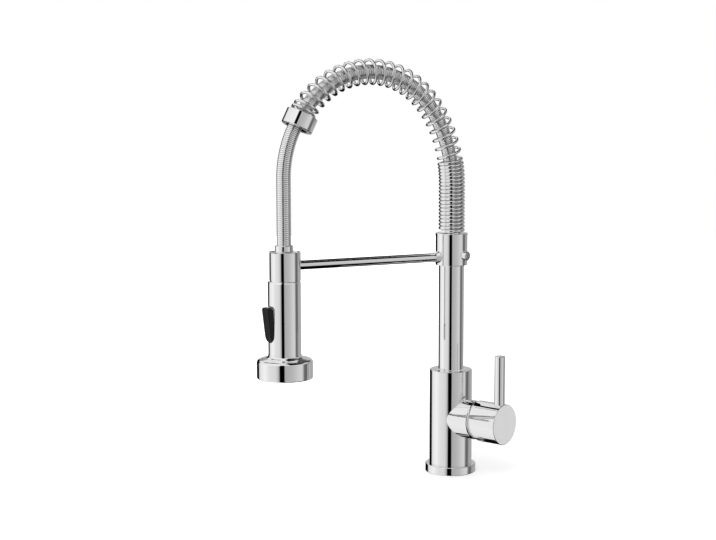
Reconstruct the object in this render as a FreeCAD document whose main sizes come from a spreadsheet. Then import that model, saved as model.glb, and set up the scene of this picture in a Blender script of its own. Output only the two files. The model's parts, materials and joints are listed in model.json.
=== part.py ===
import FreeCAD, Part
import math
import os
import Sketcher

# Driving dimensions, in millimetres, degrees and counts
SIZES = (
    ("running_fit", 0.06, "radial play of a piece that turns or slides in another"),
    ("slip_fit", 0.1, "play between pieces that are fixed together"),
    ("free_gap", 0.3, "clearance between pieces that move past each other"),
    ("edge", 0.6, "bevel on turned edges"),
    ("base_diameter", 50, "ring on the deck"),
    ("base_height", 8, "ring on the deck"),
    ("base_recess", 1.5, "depth that the body sits into the ring"),
    ("foot_diameter", 34, "foot of the body inside the ring"),
    ("deck_seal_cord", 2.4, "thickness of the deck seal"),
    ("body_diameter", 42, "upright body"),
    ("body_height", 102.7, "top of the body above the deck"),
    ("shank_diameter", 28, "threaded socket for the fixing shank"),
    ("shank_depth", 12, "threaded socket for the fixing shank"),
    ("inlet_diameter", 10, "threaded hot and cold inlets"),
    ("inlet_depth", 12, "threaded hot and cold inlets"),
    ("inlet_spacing", 14, "from the hot inlet to the cold one"),
    ("handle_angle", 294, "direction of the handle's axis seen from above"),
    ("handle_level", 55.2, "height of the handle's axis"),
    ("housing_diameter", 38, "side housing of the cartridge"),
    ("cartridge_diameter", 28, "ceramic cartridge"),
    ("cartridge_seat", 6, "inner end of the cartridge from the body's axis"),
    ("cartridge_length", 21, "from the seat to the shoulder under the nut"),
    ("cartridge_foot", 4, "thickness of the cartridge's base"),
    ("cartridge_seal_cord", 1.6, "thickness of the seals under the base"),
    ("port_diameter", 4.4, "water ways through base and fixed disc"),
    ("port_circle", 12.4, "circle that the water ways stand on"),
    ("shell_wall", 1.7, "wall of the cartridge shell"),
    ("shell_roof", 2, "end wall of the cartridge shell"),
    ("shell_neck_wall", 1.85, "neck of the cartridge shell"),
    ("shell_neck_length", 3.5, "neck of the cartridge shell"),
    ("disc_thickness", 4, "each ceramic disc"),
    ("disc_room", 0.9, "room round the sliding ceramic disc at both ends of its travel"),
    ("stem_socket_diameter", 6.4, "socket in the sliding disc for the stem's tip"),
    ("stem_socket_depth", 3, "socket in the sliding disc for the stem's tip"),
    ("carrier_wall", 1.5, "neck of the stem's turning carrier"),
    ("carrier_roof", 1.3, "end wall of the carrier's flange"),
    ("carrier_overhang", 5, "carrier's neck beyond the pivot"),
    ("pivot_offset", 2, "pivot of the stem beyond the housing's end"),
    ("pivot_pin_diameter", 3, "pin that the stem tilts on"),
    ("tilt_angle", 18, "tilt of the handle from shut to full flow"),
    ("stem_diameter", 6.4, "stem where the handle sits on it"),
    ("stem_tip_diameter", 4.8, "stem inside the cartridge"),
    ("nut_diameter", 32, "nut that holds the cartridge"),
    ("nut_thickness", 4, "nut that holds the cartridge"),
    ("dome_spigot", 2, "foot of the domed cover inside the housing"),
    ("dome_wall", 1.2, "domed cover under the handle cap"),
    ("dome_opening", 36, "half angle of the dome's opening, from its middle"),
    ("cap_diameter", 39.6, "handle cap"),
    ("cap_wall", 2.2, "skirt of the handle cap"),
    ("cap_room", 0.8, "room between the domed cover and the cap's solid end"),
    ("cap_web", 12, "solid end of the handle cap"),
    ("cap_seam", 1.2, "seam between housing and cap on the lever's side"),
    ("lever_diameter", 10.4, "lever pin"),
    ("lever_length", 47, "lever pin above the cap"),
    ("lever_inset", 6.6, "axis of the lever pin behind the cap's face"),
    ("lever_seat", 0.9, "depth that the lever pin is let into the cap"),
    ("lever_tail_diameter", 5, "threaded tail of the lever pin"),
    ("socket_wall", 8.4, "from the cartridge's chamber up to the riser's socket"),
    ("bush_wall", 1.5, "bush round the riser tube"),
    ("swivel_washer_height", 1.2, "slide washer under the riser's foot"),
    ("riser_foot_height", 12, "flange of the riser's foot"),
    ("riser_spigot", 10, "length of the foot inside the riser tube"),
    ("riser_waterway", 15, "bore of the riser's foot"),
    ("riser_seal_cord", 2, "thickness of the riser's seals"),
    ("riser_seal_step", 4.4, "from one riser seal to the other"),
    ("riser_diameter", 25, "riser tube"),
    ("riser_wall", 1.5, "riser tube"),
    ("collar_level", 206.4, "lower end of the collar"),
    ("collar_height", 31.6, "collar at the top of the riser"),
    ("collar_diameter", 31.5, "collar at the top of the riser"),
    ("collar_grip", 16, "length of riser inside the collar"),
    ("collar_web", 3, "web between riser and spring seat"),
    ("seat_height", 26, "spring seat above the collar"),
    ("adaptor_spigot_diameter", 14, "hose adaptor through the collar's web"),
    ("adaptor_spigot_length", 8, "hose adaptor below the spring seat"),
    ("adaptor_flange", 3, "flange that the hose ends on"),
    ("adaptor_tail", 14, "tail of the adaptor inside the hose"),
    ("adaptor_bore", 6, "water way of adaptor and ferrule"),
    ("screw_angle", 294, "direction of the clamp screw seen from above"),
    ("screw_rise", 1.8, "clamp screw's axis above the support arm's"),
    ("screw_head_diameter", 9, "clamp screw"),
    ("screw_head_height", 4, "clamp screw outside the collar"),
    ("screw_diameter", 4, "thread of the clamp screw"),
    ("screw_socket", 3, "key socket in the clamp screw's head"),
    ("arm_rise", 8.1, "support arm's axis above the lower end of the collar"),
    ("arm_diameter", 8.8, "support arm"),
    ("arm_flare", 2, "cone of the arm where it meets the collar, beyond the arm's radius"),
    ("arm_flare_length", 4, "cone of the arm outside the collar"),
    ("arm_seat", 0.8, "depth that the arm is let into collar and clip"),
    ("arm_spigot_diameter", 6, "threaded end of the arm in the collar"),
    ("reach", 178.5, "from the riser's axis to the spray's axis"),
    ("clip_drop", 13.8, "lower end of the holder clip below the arm's axis"),
    ("clip_height", 27.1, "holder clip"),
    ("clip_wall", 1.6, "holder clip"),
    ("clip_mouth", 84, "angle of the clip's mouth"),
    ("bend_rise", 48, "start of the hose's bend above the collar"),
    ("rise_share", 0.706, "radius of the arch's first bend over the reach"),
    ("rise_turn", 37.5, "first bend of the arch"),
    ("crown_share", 0.4465, "radius of the bend over the arch's top over the reach"),
    ("crown_turn", 88.8, "bend over the top of the arch"),
    ("spring_diameter", 26.4, "outside of the spring"),
    ("spring_wire", 2.65, "wire of the spring"),
    ("dense_gap", 0.81, "gap between the tight turns"),
    ("dense_turns", 20, "turns above the collar"),
    ("open_turns", 22, "turns over the arch"),
    ("end_gap", 0.9, "gap at the last turn in the cup"),
    ("spring_end_turn", 144.5, "turn of the arch at the spring's end"),
    ("cup_wall", 1.1, "cup on the end of the spring"),
    ("cup_play", 1.2, "room round the spring in the cup"),
    ("cup_length", 15.2, "cup on the end of the spring"),
    ("cup_lag", 6, "lean of the cup towards upright from the spring's end"),
    ("cup_recess", 3.6, "depth of the cup's seat for the spring"),
    ("cup_bore", 21, "room for the hose in the cup"),
    ("hose_diameter", 13.6, "hose over its ribs"),
    ("hose_bore", 9, "bore of the hose"),
    ("hose_rib", 0.7, "depth of the grooves between the ribs"),
    ("rib_count", 196, "ribs along the hose"),
    ("ferrule_wall", 1.5, "sleeve on the end of the hose"),
    ("ferrule_length", 6.4, "sleeve on the end of the hose"),
    ("ferrule_floor", 2, "end wall of the sleeve"),
    ("ferrule_spigot_diameter", 12, "turning joint of the sleeve in the spray"),
    ("ferrule_spigot_length", 5, "turning joint of the sleeve in the spray"),
    ("spray_diameter", 31, "hand spray"),
    ("spray_wall", 3, "hand spray"),
    ("spray_length", 91.4, "from the clip down to the face of the hand spray"),
    ("shoulder_bevel", 1.8, "bevel on the shoulder under the clip"),
    ("neck_drop", 0.8, "top of the spray's neck below the clip's top"),
    ("neck_bore", 18, "room for the check valve"),
    ("neck_line", 0.5, "groove round the foot of the neck"),
    ("neck_line_height", 1.2, "groove round the foot of the neck"),
    ("bell_diameter", 53, "spray bell"),
    ("bell_side", 17.6, "upright side of the spray bell"),
    ("bell_cone", 2.4, "sloping top of the spray bell"),
    ("bell_wall", 2.5, "spray bell"),
    ("bell_round", 2.6, "rounded upper edge of the spray bell"),
    ("bell_edge", 1, "rounded lower edge of the spray bell"),
    ("bell_room", 0.6, "room behind the nozzle mat"),
    ("bell_web", 2.4, "web between the hand spray and the nozzles"),
    ("bell_passage", 22, "opening from the hand spray into the bell"),
    ("face_seal_cord", 1.6, "seal between the hand spray and the bell"),
    ("plate_inset", 1, "nozzle plate behind the bell's edge"),
    ("plate_thickness", 2.5, "nozzle plate"),
    ("mat_thickness", 1.5, "rubber mat that carries the nozzles"),
    ("nozzle_diameter", 2.4, "spray nozzle"),
    ("nozzle_proud", 0.8, "spray nozzle beyond the plate"),
    ("nozzle_circle", 35, "circle of the spray nozzles"),
    ("nozzle_count", 24, "spray nozzles"),
    ("aerator_diameter", 17, "aerator in the middle of the face"),
    ("aerator_height", 11, "aerator in the middle of the face"),
    ("valve_rise", 4.4, "lower end of the valve block above the trigger's lug"),
    ("valve_height", 34, "valve block in the hand spray"),
    ("check_valve_length", 18, "check valve in the spray's neck"),
    ("check_valve_bore", 8, "check valve in the spray's neck"),
    ("plunger_rise", 18, "diverter plunger's axis above the trigger's pivot"),
    ("plunger_diameter", 5, "diverter plunger"),
    ("plunger_depth", 4, "diverter plunger beyond the spray's axis"),
    ("plunger_stroke", 3, "room for the plunger's travel"),
    ("plunger_play", 0.5, "gap between plunger and trigger"),
    ("trigger_rise", 34.5, "lower tip of the trigger above the face of the spray"),
    ("trigger_height", 32.9, "trigger"),
    ("trigger_width", 15.4, "upper end of the trigger"),
    ("trigger_tip_width", 14, "lower end of the trigger"),
    ("trigger_round", 3.2, "upper corners of the trigger"),
    ("trigger_proud", 4.4, "upper end of the trigger beyond the spray's side"),
    ("trigger_tip_proud", 1.3, "lower end of the trigger beyond the spray's side"),
    ("trigger_thickness", 3.5, "upper end of the trigger"),
    ("trigger_press", 8, "angle that the trigger is pressed"),
    ("trigger_pivot_rise", 6.5, "trigger's pivot above its lower tip"),
    ("trigger_pivot_depth", 2.7, "trigger's pivot inside the spray's side"),
    ("trigger_lug_width", 9.4, "lug of the trigger round its pin"),
    ("trigger_lug_radius", 2.6, "lug of the trigger round its pin"),
    ("trigger_pin_diameter", 2.4, "pin of the trigger"),
    ("trigger_pin_length", 15, "pin of the trigger"),
)

STRAIGHT_TURN = 180
QUARTERS = 4
CIRCLES_PER_RIB = 4
GAP_SAMPLES = 24
LEAST_SPRING_GAP = 0.4

doc = FreeCAD.newDocument("mixer_tap")
sheet = doc.addObject("Spreadsheet::Sheet", "Sizes")


class Size:
    """A number together with the expression that gives it from the sheet."""

    def __init__(self, text, number):
        self.text = text
        self.number = number

    def joined(self, sign, other, number):
        return Size("(%s %s %s)" % (self.text, sign, text_of(other)), number)

    def __add__(self, other):
        return self.joined("+", other, self.number + number_of(other))

    def __sub__(self, other):
        return self.joined("-", other, self.number - number_of(other))

    def __mul__(self, other):
        return self.joined("*", other, self.number * number_of(other))

    def __truediv__(self, other):
        return self.joined("/", other, self.number / number_of(other))

    def __neg__(self):
        return Size("(0 - %s)" % self.text, -self.number)

    def __rsub__(self, other):
        return -self + other


def number_of(value):
    return value.number if isinstance(value, Size) else float(value)


def text_of(value):
    return value.text if isinstance(value, Size) else repr(float(value))


def sine(angle):
    return Size("sin(%s * 1 deg)" % angle.text, math.sin(math.radians(angle.number)))


def cosine(angle):
    return Size("cos(%s * 1 deg)" % angle.text, math.cos(math.radians(angle.number)))


def tangent(angle):
    return Size("tan(%s * 1 deg)" % angle.text, math.tan(math.radians(angle.number)))


def root(value):
    return Size("sqrt(%s)" % value.text, math.sqrt(value.number))


def fill_sheet():
    """Writes the driving dimensions into the sheet and returns them by name."""
    named = {}
    for row, (name, value, note) in enumerate(SIZES, start=1):
        sheet.set("A%d" % row, note)
        sheet.set("B%d" % row, str(value))
        sheet.setAlias("B%d" % row, name)
    doc.recompute()
    for name, value, note in SIZES:
        named[name] = Size("Sizes.%s" % name, float(sheet.get(name)))
    return named


class Names:
    """The driving dimensions as attributes."""

    def __init__(self, named):
        self.__dict__.update(named)


s = Names(fill_sheet())
nodes = {}


def keep(label, item):
    """Gives a finished sub-part its own label."""
    item.Label = label
    nodes[label] = item
    return item


def new_body(name):
    return doc.addObject("PartDesign::Body", name)


def sketch_on(body, role, name):
    sketch = body.newObject("Sketcher::SketchObject", name)
    plane = next(item for item in body.Origin.OriginFeatures if item.Role == role)
    sketch.AttachmentSupport = (plane, "")
    sketch.MapMode = "FlatFace"
    return sketch


def hold(sketch, kind, geometry, position, value):
    """Ties one coordinate of a point to its size."""
    number = number_of(value)
    along_x = kind == "DistanceX"
    if number == 0 and not isinstance(value, Size):
        axis = -2 if along_x else -1
        sketch.addConstraint(Sketcher.Constraint("PointOnObject", geometry, position, axis))
        return
    index = sketch.addConstraint(Sketcher.Constraint(kind, -1, 1, geometry, position, number))
    if isinstance(value, Size):
        sketch.setExpression("Constraints[%d]" % index, value.text)


def arc_between(start, end, radius):
    """An arc under a half circle, turning left from start to end where radius is positive."""
    middle = (start + end) * 0.5
    chord = end - start
    left = FreeCAD.Vector(-chord.y, chord.x, 0)
    left.normalize()
    reach = math.sqrt(max(radius * radius - chord.Length ** 2 / 4, 0))
    side = 1 if radius > 0 else -1
    centre = middle + left * (reach * side)
    angles = [math.atan2((p - centre).y, (p - centre).x) for p in (start, end)]
    if radius < 0:
        angles.reverse()
    circle = Part.Circle(centre, FreeCAD.Vector(0, 0, 1), abs(radius))
    return Part.ArcOfCircle(circle, angles[0], angles[1])


def outline(sketch, corners):
    """Draws a closed outline: each corner is (x, y), with an arc's radius third where one leaves it."""
    first = sketch.GeometryCount
    count = len(corners)
    points = [FreeCAD.Vector(number_of(c[0]), number_of(c[1]), 0) for c in corners]
    starts = []
    ends = []
    for k in range(count):
        here = points[k]
        there = points[(k + 1) % count]
        radius = number_of(corners[k][2]) if len(corners[k]) > 2 else 0
        if radius == 0:
            sketch.addGeometry(Part.LineSegment(here, there))
        else:
            sketch.addGeometry(arc_between(here, there, radius))
        starts.append(2 if radius < 0 else 1)
        ends.append(1 if radius < 0 else 2)
    for k in range(count):
        after = (k + 1) % count
        joint = Sketcher.Constraint("Coincident", first + k, ends[k], first + after, starts[after])
        sketch.addConstraint(joint)
    for k, corner in enumerate(corners):
        hold(sketch, "DistanceX", first + k, starts[k], corner[0])
        hold(sketch, "DistanceY", first + k, starts[k], corner[1])
        if len(corner) > 2:
            size = corner[2] if number_of(corner[2]) > 0 else -corner[2]
            index = sketch.addConstraint(Sketcher.Constraint("Radius", first + k, number_of(size)))
            sketch.setExpression("Constraints[%d]" % index, size.text)


def ring(sketch, x, y, radius):
    """Draws a full circle."""
    place = FreeCAD.Vector(number_of(x), number_of(y), 0)
    circle = Part.Circle(place, FreeCAD.Vector(0, 0, 1), radius.number)
    index = sketch.addGeometry(circle)
    hold(sketch, "DistanceX", index, 3, x)
    hold(sketch, "DistanceY", index, 3, y)
    datum = sketch.addConstraint(Sketcher.Constraint("Radius", index, radius.number))
    sketch.setExpression("Constraints[%d]" % datum, radius.text)


def revolved(body, kind, name, corners, along):
    """Revolves an outline in the upright plane about the body's own X or Z axis."""
    sketch = sketch_on(body, "XZ_Plane", name + "_outline")
    outline(sketch, corners)
    feature = body.newObject("PartDesign::" + kind, name)
    feature.Profile = sketch
    feature.ReferenceAxis = (sketch, ["V_Axis" if along == "z" else "H_Axis"])
    feature.Angle = 360
    return feature


def turned(name, corners, along="z"):
    body = new_body(name)
    revolved(body, "Revolution", name + "_turned", corners, along)
    return body


def bored(body, name, corners, along="z"):
    """Takes a turned hollow out of a body and proves that it cut."""
    doc.recompute()
    before = body.Shape.Volume
    revolved(body, "Groove", name, corners, along)
    doc.recompute()
    if body.Shape.Volume >= before:
        raise RuntimeError("%s cuts nothing" % name)


def padded(body, name, role, length, draw):
    """Pads a drawn outline to both sides of its plane."""
    sketch = sketch_on(body, role, name + "_outline")
    draw(sketch)
    pad = body.newObject("PartDesign::Pad", name)
    pad.Profile = sketch
    pad.SideType = "Symmetric"
    pad.setExpression("Length", length.text)
    return pad


def pocketed(body, name, role, draw, both=False, upward=False, offset=None, depth=None):
    """Cuts a drawn outline through the body, or to a depth, and proves that it cut."""
    doc.recompute()
    before = body.Shape.Volume
    sketch = sketch_on(body, role, name + "_outline")
    draw(sketch)
    if offset is not None:
        sketch.setExpression("AttachmentOffset.Base.z", offset.text)
    pocket = body.newObject("PartDesign::Pocket", name)
    pocket.Profile = sketch
    if depth is None:
        pocket.Type = "ThroughAll"
    else:
        pocket.setExpression("Length", depth.text)
    if both:
        pocket.SideType = "Symmetric"
    pocket.Reversed = upward
    doc.recompute()
    if body.Shape.Volume >= before:
        raise RuntimeError("%s cuts nothing" % name)
    return pocket


def placed(item, x=None, y=None, z=None, axis=(0, 0, 1), angle=None):
    """Binds a sub-part's place, and its turn about one axis."""
    if angle is not None:
        item.Placement = FreeCAD.Placement(FreeCAD.Vector(), FreeCAD.Rotation(FreeCAD.Vector(*axis), 1))
        item.setExpression("Placement.Rotation.Angle", "%s * 1 deg" % text_of(angle))
    for letter, value in (("x", x), ("y", y), ("z", z)):
        if value is not None:
            item.setExpression("Placement.Base." + letter, text_of(value))
    return item


def on_handle(body):
    """Lays a body's X axis along the handle's axis."""
    return placed(body, z=s.handle_level, angle=s.handle_angle)


def on_spray(body):
    """Stands a body on the axis of the hand spray."""
    return placed(body, x=-s.reach)


def on_arm(body):
    """Points a body's X axis along the support arm, away from the riser."""
    return placed(body, z=arm_level, angle=STRAIGHT_TURN)


def o_ring(name, middle_radius, cord, level):
    torus = doc.addObject("Part::Torus", name)
    torus.setExpression("Radius1", middle_radius.text)
    torus.setExpression("Radius2", (cord / 2).text)
    torus.setExpression("Placement.Base.z", text_of(level))
    return torus


def grouped(name, items):
    group = doc.addObject("Part::Compound", name)
    group.Links = items
    return group


def cut(name, base, tool):
    item = doc.addObject("Part::Cut", name)
    item.Base = base
    item.Tool = tool
    return item


def common(name, base, tool):
    item = doc.addObject("Part::Common", name)
    item.Base = base
    item.Tool = tool
    return item


# Radii and levels that several pieces share
base_r = s.base_diameter / 2
body_r = s.body_diameter / 2
foot_r = s.foot_diameter / 2
seat_level = s.base_height - s.base_recess
housing_r = s.housing_diameter / 2
cartridge_r = s.cartridge_diameter / 2
shoulder = s.cartridge_seat + s.cartridge_length
chamber_r = cartridge_r + s.slip_fit
disc_start = s.cartridge_seat + s.cartridge_foot
disc_end = disc_start + s.disc_thickness * 2
shell_r = cartridge_r - s.shell_wall
nut_r = s.nut_diameter / 2
nut_end = shoulder + s.nut_thickness
housing_end = nut_end + s.dome_spigot
pivot = housing_end + s.pivot_offset
pin_r = s.pivot_pin_diameter / 2
stem_r = s.stem_diameter / 2
tip_r = s.stem_tip_diameter / 2
flange_start = disc_end + s.free_gap
flange_end = shoulder - s.shell_roof - s.free_gap
flange_roof = flange_end - s.carrier_roof
sweep = tip_r / cosine(s.tilt_angle) + s.free_gap
carrier_in = (pivot - flange_roof) * tangent(s.tilt_angle) + sweep
flange_in = (pivot - flange_start) * tangent(s.tilt_angle) + sweep
carrier_r = carrier_in + s.carrier_wall
shell_neck_r = carrier_r + s.running_fit + s.shell_neck_wall
stem_tip = disc_end - s.stem_socket_depth + s.edge
disc_arm = pivot - disc_end + s.stem_socket_depth / 2
disc_travel = disc_arm * sine(s.tilt_angle)
moving_disc_r = shell_r - disc_travel / 2 - s.disc_room
cap_r = s.cap_diameter / 2
cap_in = cap_r - s.cap_wall
cap_rim = housing_end + s.cap_seam
cap_swing = cap_r * sine(s.tilt_angle) + s.free_gap * 2 - s.pivot_offset
cap_low = pivot + cap_swing / cosine(s.tilt_angle)
dome_r = cap_in - s.free_gap - s.slip_fit
cap_solid = pivot + dome_r + s.cap_room
cap_end = cap_solid + s.cap_web
lever_at = cap_end - s.lever_inset
lever_foot = cap_r - s.lever_seat
lever_r = s.lever_diameter / 2
tail_r = s.lever_tail_diameter / 2
riser_r = s.riser_diameter / 2
riser_in = riser_r - s.riser_wall
socket_r = riser_r + s.bush_wall
socket_floor = s.handle_level + chamber_r + s.socket_wall
foot_bottom = socket_floor + s.swivel_washer_height
riser_bottom = foot_bottom + s.riser_foot_height
collar_r = s.collar_diameter / 2
collar_top = s.collar_level + s.collar_height
riser_top = s.collar_level + s.collar_grip
web_top = riser_top + s.collar_web
arm_r = s.arm_diameter / 2
arm_foot_r = arm_r + s.arm_flare
arm_level = s.collar_level + s.arm_rise
screw_level = arm_level + s.screw_rise
clip_level = arm_level - s.clip_drop
hose_r = s.hose_diameter / 2
spring_r = s.spring_diameter / 2
spring_in = spring_r - s.spring_wire
seat_r = spring_in - s.free_gap
seat_in = (hose_r + spring_in) / 2
seat_thread_r = spring_in + s.slip_fit
bend_level = collar_top + s.bend_rise
rise_radius = s.reach * s.rise_share
crown_radius = s.reach * s.crown_share
dense_pitch = s.spring_wire + s.dense_gap
end_pitch = s.spring_wire + s.end_gap
recess_r = spring_r + s.cup_play
cup_r = recess_r + s.cup_wall
cup_tilt = STRAIGHT_TURN - s.spring_end_turn - s.cup_lag
hose_start = web_top + s.adaptor_flange
spray_r = s.spray_diameter / 2
spray_in = spray_r - s.spray_wall
clip_in = spray_r - s.clip_wall
clip_top = clip_level + s.clip_height
shoulder_level = clip_level - s.free_gap
spray_level = shoulder_level - s.spray_length
neck_r = clip_in - s.free_gap
neck_top = clip_top - s.neck_drop
ferrule_bottom = neck_top + s.free_gap
ferrule_top = ferrule_bottom + s.ferrule_length
hose_end = ferrule_bottom + s.ferrule_floor
bell_r = s.bell_diameter / 2
bell_in = bell_r - s.bell_wall
bell_shelf = spray_level + s.bell_side
bell_top = bell_shelf + s.bell_cone
plate_level = spray_level + s.plate_inset
plate_top = plate_level + s.plate_thickness
mat_top = plate_top + s.mat_thickness
cavity_top = mat_top + s.bell_room
spray_bottom = cavity_top + s.bell_web
aerator_r = s.aerator_diameter / 2
trigger_level = spray_level + s.trigger_rise
trigger_top = trigger_level + s.trigger_height
trigger_pivot = trigger_level + s.trigger_pivot_rise
pivot_depth = spray_r - s.trigger_pivot_depth
# pressing the trigger carries its upper edge up by this much
trigger_lift = (s.trigger_proud + s.trigger_pivot_depth) * sine(s.trigger_press)
plunger_level = trigger_pivot + s.plunger_rise
valve_level = trigger_pivot + s.trigger_lug_radius + s.valve_rise
valve_top = valve_level + s.valve_height


def make_base():
    seal_r = (foot_r + base_r) / 2
    groove_in = seal_r - s.deck_seal_cord / 2 - s.slip_fit
    groove_out = seal_r + s.deck_seal_cord / 2 + s.slip_fit
    groove_top = s.deck_seal_cord + s.slip_fit
    corners = [
        (foot_r + s.slip_fit, 0),
        (groove_in, 0),
        (groove_in, groove_top),
        (groove_out, groove_top),
        (groove_out, 0),
        (base_r - s.edge, 0),
        (base_r, s.edge),
        (base_r, s.base_height - s.edge),
        (base_r - s.edge, s.base_height),
        (body_r + s.slip_fit, s.base_height),
        (body_r + s.slip_fit, seat_level),
        (foot_r + s.slip_fit, seat_level),
    ]
    keep("base_ring", turned("BaseRing", corners))
    seal = o_ring("DeckSeal", seal_r, s.deck_seal_cord, s.deck_seal_cord / 2)
    keep("deck_seal", seal)


def make_mixer_body():
    body = turned("MixerBody", [
        (0, 0),
        (foot_r, 0),
        (foot_r, seat_level),
        (body_r, seat_level),
        (body_r, s.body_height - s.edge),
        (body_r - s.edge, s.body_height),
        (0, s.body_height),
    ])
    housing = sketch_on(body, "XZ_Plane", "HousingOutline")
    outline(housing, [
        (0, s.handle_level),
        (housing_end, s.handle_level),
        (housing_end, s.handle_level + housing_r - s.edge),
        (housing_end - s.edge, s.handle_level + housing_r),
        (0, s.handle_level + housing_r),
    ])
    side = body.newObject("PartDesign::Revolution", "Housing")
    side.Profile = housing
    side.ReferenceAxis = (housing, ["Edge1"])
    side.Angle = 360
    bored(body, "ShankSocket", [
        (0, 0),
        (s.shank_diameter / 2, 0),
        (s.shank_diameter / 2, s.shank_depth),
        (0, s.shank_depth),
    ])
    bored(body, "RiserSocket", [
        (0, socket_floor),
        (socket_r, socket_floor),
        (socket_r, s.body_height),
        (0, s.body_height),
    ])
    doc.recompute()
    before = body.Shape.Volume
    chamber = sketch_on(body, "XZ_Plane", "ChamberOutline")
    axis = s.handle_level
    outline(chamber, [
        (s.cartridge_seat, axis),
        (housing_end, axis),
        (housing_end, axis + nut_r + s.slip_fit),
        (shoulder, axis + nut_r + s.slip_fit),
        (shoulder, axis + chamber_r),
        (s.cartridge_seat, axis + chamber_r),
    ])
    hollow = body.newObject("PartDesign::Groove", "CartridgeChamber")
    hollow.Profile = chamber
    hollow.ReferenceAxis = (chamber, ["Edge1"])
    hollow.Angle = 360
    doc.recompute()
    if body.Shape.Volume >= before:
        raise RuntimeError("the cartridge chamber cuts nothing")

    def inlets(sketch):
        ring(sketch, s.inlet_spacing / 2, 0, s.inlet_diameter / 2)
        ring(sketch, -s.inlet_spacing / 2, 0, s.inlet_diameter / 2)

    pocketed(body, "Inlets", "XY_Plane", inlets, upward=True, depth=s.shank_depth + s.inlet_depth)
    placed(body, angle=s.handle_angle)
    keep("mixer_body", body)


def port_places():
    """The three water ways of the cartridge, evenly round its axis."""
    circle = s.port_circle / 2
    half = circle / 2
    aside = circle * math.sqrt(0.75)
    return [(0, circle), (aside, -half), (-aside, -half)]


def drill_ports(body, name):
    def ports(sketch):
        for x, y in port_places():
            ring(sketch, x, y, s.port_diameter / 2)

    pocketed(body, name, "YZ_Plane", ports, both=True)


def make_cartridge():
    seal_top = s.cartridge_seat + s.cartridge_seal_cord
    foot = turned("CartridgeBase", [
        (s.cartridge_seat, 0),
        (disc_start, 0),
        (disc_start, cartridge_r),
        (s.cartridge_seat, cartridge_r),
    ], "x")

    def seal_wells(sketch):
        for x, y in port_places():
            ring(sketch, x, y, s.port_diameter / 2 + s.cartridge_seal_cord + s.slip_fit)

    drill_ports(foot, "BasePorts")
    pocketed(foot, "SealWells", "YZ_Plane", seal_wells, depth=seal_top + s.slip_fit, upward=True)
    keep("cartridge_base", on_handle(foot))

    seals = new_body("CartridgeSeals")

    def seal_rings(sketch):
        for x, y in port_places():
            ring(sketch, x, y, s.port_diameter / 2 + s.cartridge_seal_cord)
            ring(sketch, x, y, s.port_diameter / 2)

    sketch = sketch_on(seals, "YZ_Plane", "SealOutline")
    seal_rings(sketch)
    sketch.setExpression("AttachmentOffset.Base.z", s.cartridge_seat.text)
    pad = seals.newObject("PartDesign::Pad", "SealPad")
    pad.AllowMultiFace = True
    pad.Profile = sketch
    pad.setExpression("Length", s.cartridge_seal_cord.text)
    seals.AllowCompound = True
    keep("cartridge_seals", on_handle(seals))

    disc = turned("FixedDisc", [
        (disc_start, 0),
        (disc_start + s.disc_thickness, 0),
        (disc_start + s.disc_thickness, shell_r - s.slip_fit),
        (disc_start, shell_r - s.slip_fit),
    ], "x")
    drill_ports(disc, "DiscPorts")
    keep("fixed_disc", on_handle(disc))

    roof = shoulder - s.shell_roof
    neck_end = shoulder + s.shell_neck_length
    shell = turned("CartridgeShell", [
        (disc_start, shell_r),
        (roof, shell_r),
        (roof, carrier_r + s.running_fit),
        (neck_end, carrier_r + s.running_fit),
        (neck_end, shell_neck_r),
        (shoulder, shell_neck_r),
        (shoulder, cartridge_r),
        (disc_start, cartridge_r),
    ], "x")
    keep("cartridge_shell", on_handle(shell))

    nut = turned("CartridgeNut", [
        (shoulder, shell_neck_r + s.slip_fit),
        (nut_end, shell_neck_r + s.slip_fit),
        (nut_end, nut_r),
        (shoulder, nut_r),
    ], "x")
    keep("cartridge_nut", on_handle(nut))


def make_moving_disc():
    """The sliding disc starts half its travel below the axis, with its socket on the axis."""
    start = disc_start + s.disc_thickness
    body = new_body("MovingDisc")
    sketch = sketch_on(body, "YZ_Plane", "MovingDiscOutline")
    ring(sketch, 0, -disc_travel / 2, moving_disc_r)
    sketch.setExpression("AttachmentOffset.Base.z", start.text)
    pad = body.newObject("PartDesign::Pad", "MovingDiscPad")
    pad.Profile = sketch
    pad.setExpression("Length", s.disc_thickness.text)

    def socket(sketch):
        ring(sketch, 0, 0, s.stem_socket_diameter / 2)

    pocketed(body, "StemSocket", "YZ_Plane", socket, offset=disc_end, depth=s.stem_socket_depth)
    keep("moving_disc", on_handle(body))


def cross_hole(body, name, radius):
    """Drills the hole for the pivot pin."""
    def hole(sketch):
        ring(sketch, pivot, 0, radius)

    pocketed(body, name, "XZ_Plane", hole, both=True)


def make_stem():
    carrier = turned("StemCarrier", [
        (flange_start, flange_in),
        (flange_roof, flange_in),
        (flange_roof, carrier_in),
        (pivot + s.carrier_overhang, carrier_in),
        (pivot + s.carrier_overhang, carrier_r),
        (flange_end, carrier_r),
        (flange_end, shell_r - s.free_gap),
        (flange_start, shell_r - s.free_gap),
    ], "x")
    cross_hole(carrier, "CarrierPinHole", pin_r)
    keep("stem_carrier", on_handle(carrier))

    pin = new_body("PivotPin")
    pin_length = carrier_r * 2 - s.edge * 2
    padded(pin, "PivotPinPad", "XZ_Plane", pin_length, lambda sketch: ring(sketch, pivot, 0, pin_r))
    keep("pivot_pin", on_handle(pin))

    eye = pivot - s.carrier_overhang
    stem = turned("CartridgeStem", [
        (stem_tip, 0),
        (stem_tip, tip_r - s.edge),
        (stem_tip + s.edge, tip_r),
        (eye, tip_r),
        (eye + stem_r - tip_r, stem_r),
        (lever_at + tail_r * 2, stem_r),
        (lever_at + tail_r * 2, 0),
    ], "x")
    cross_hole(stem, "StemPinHole", pin_r + s.running_fit)
    keep("cartridge_stem", on_handle(stem))


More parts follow.
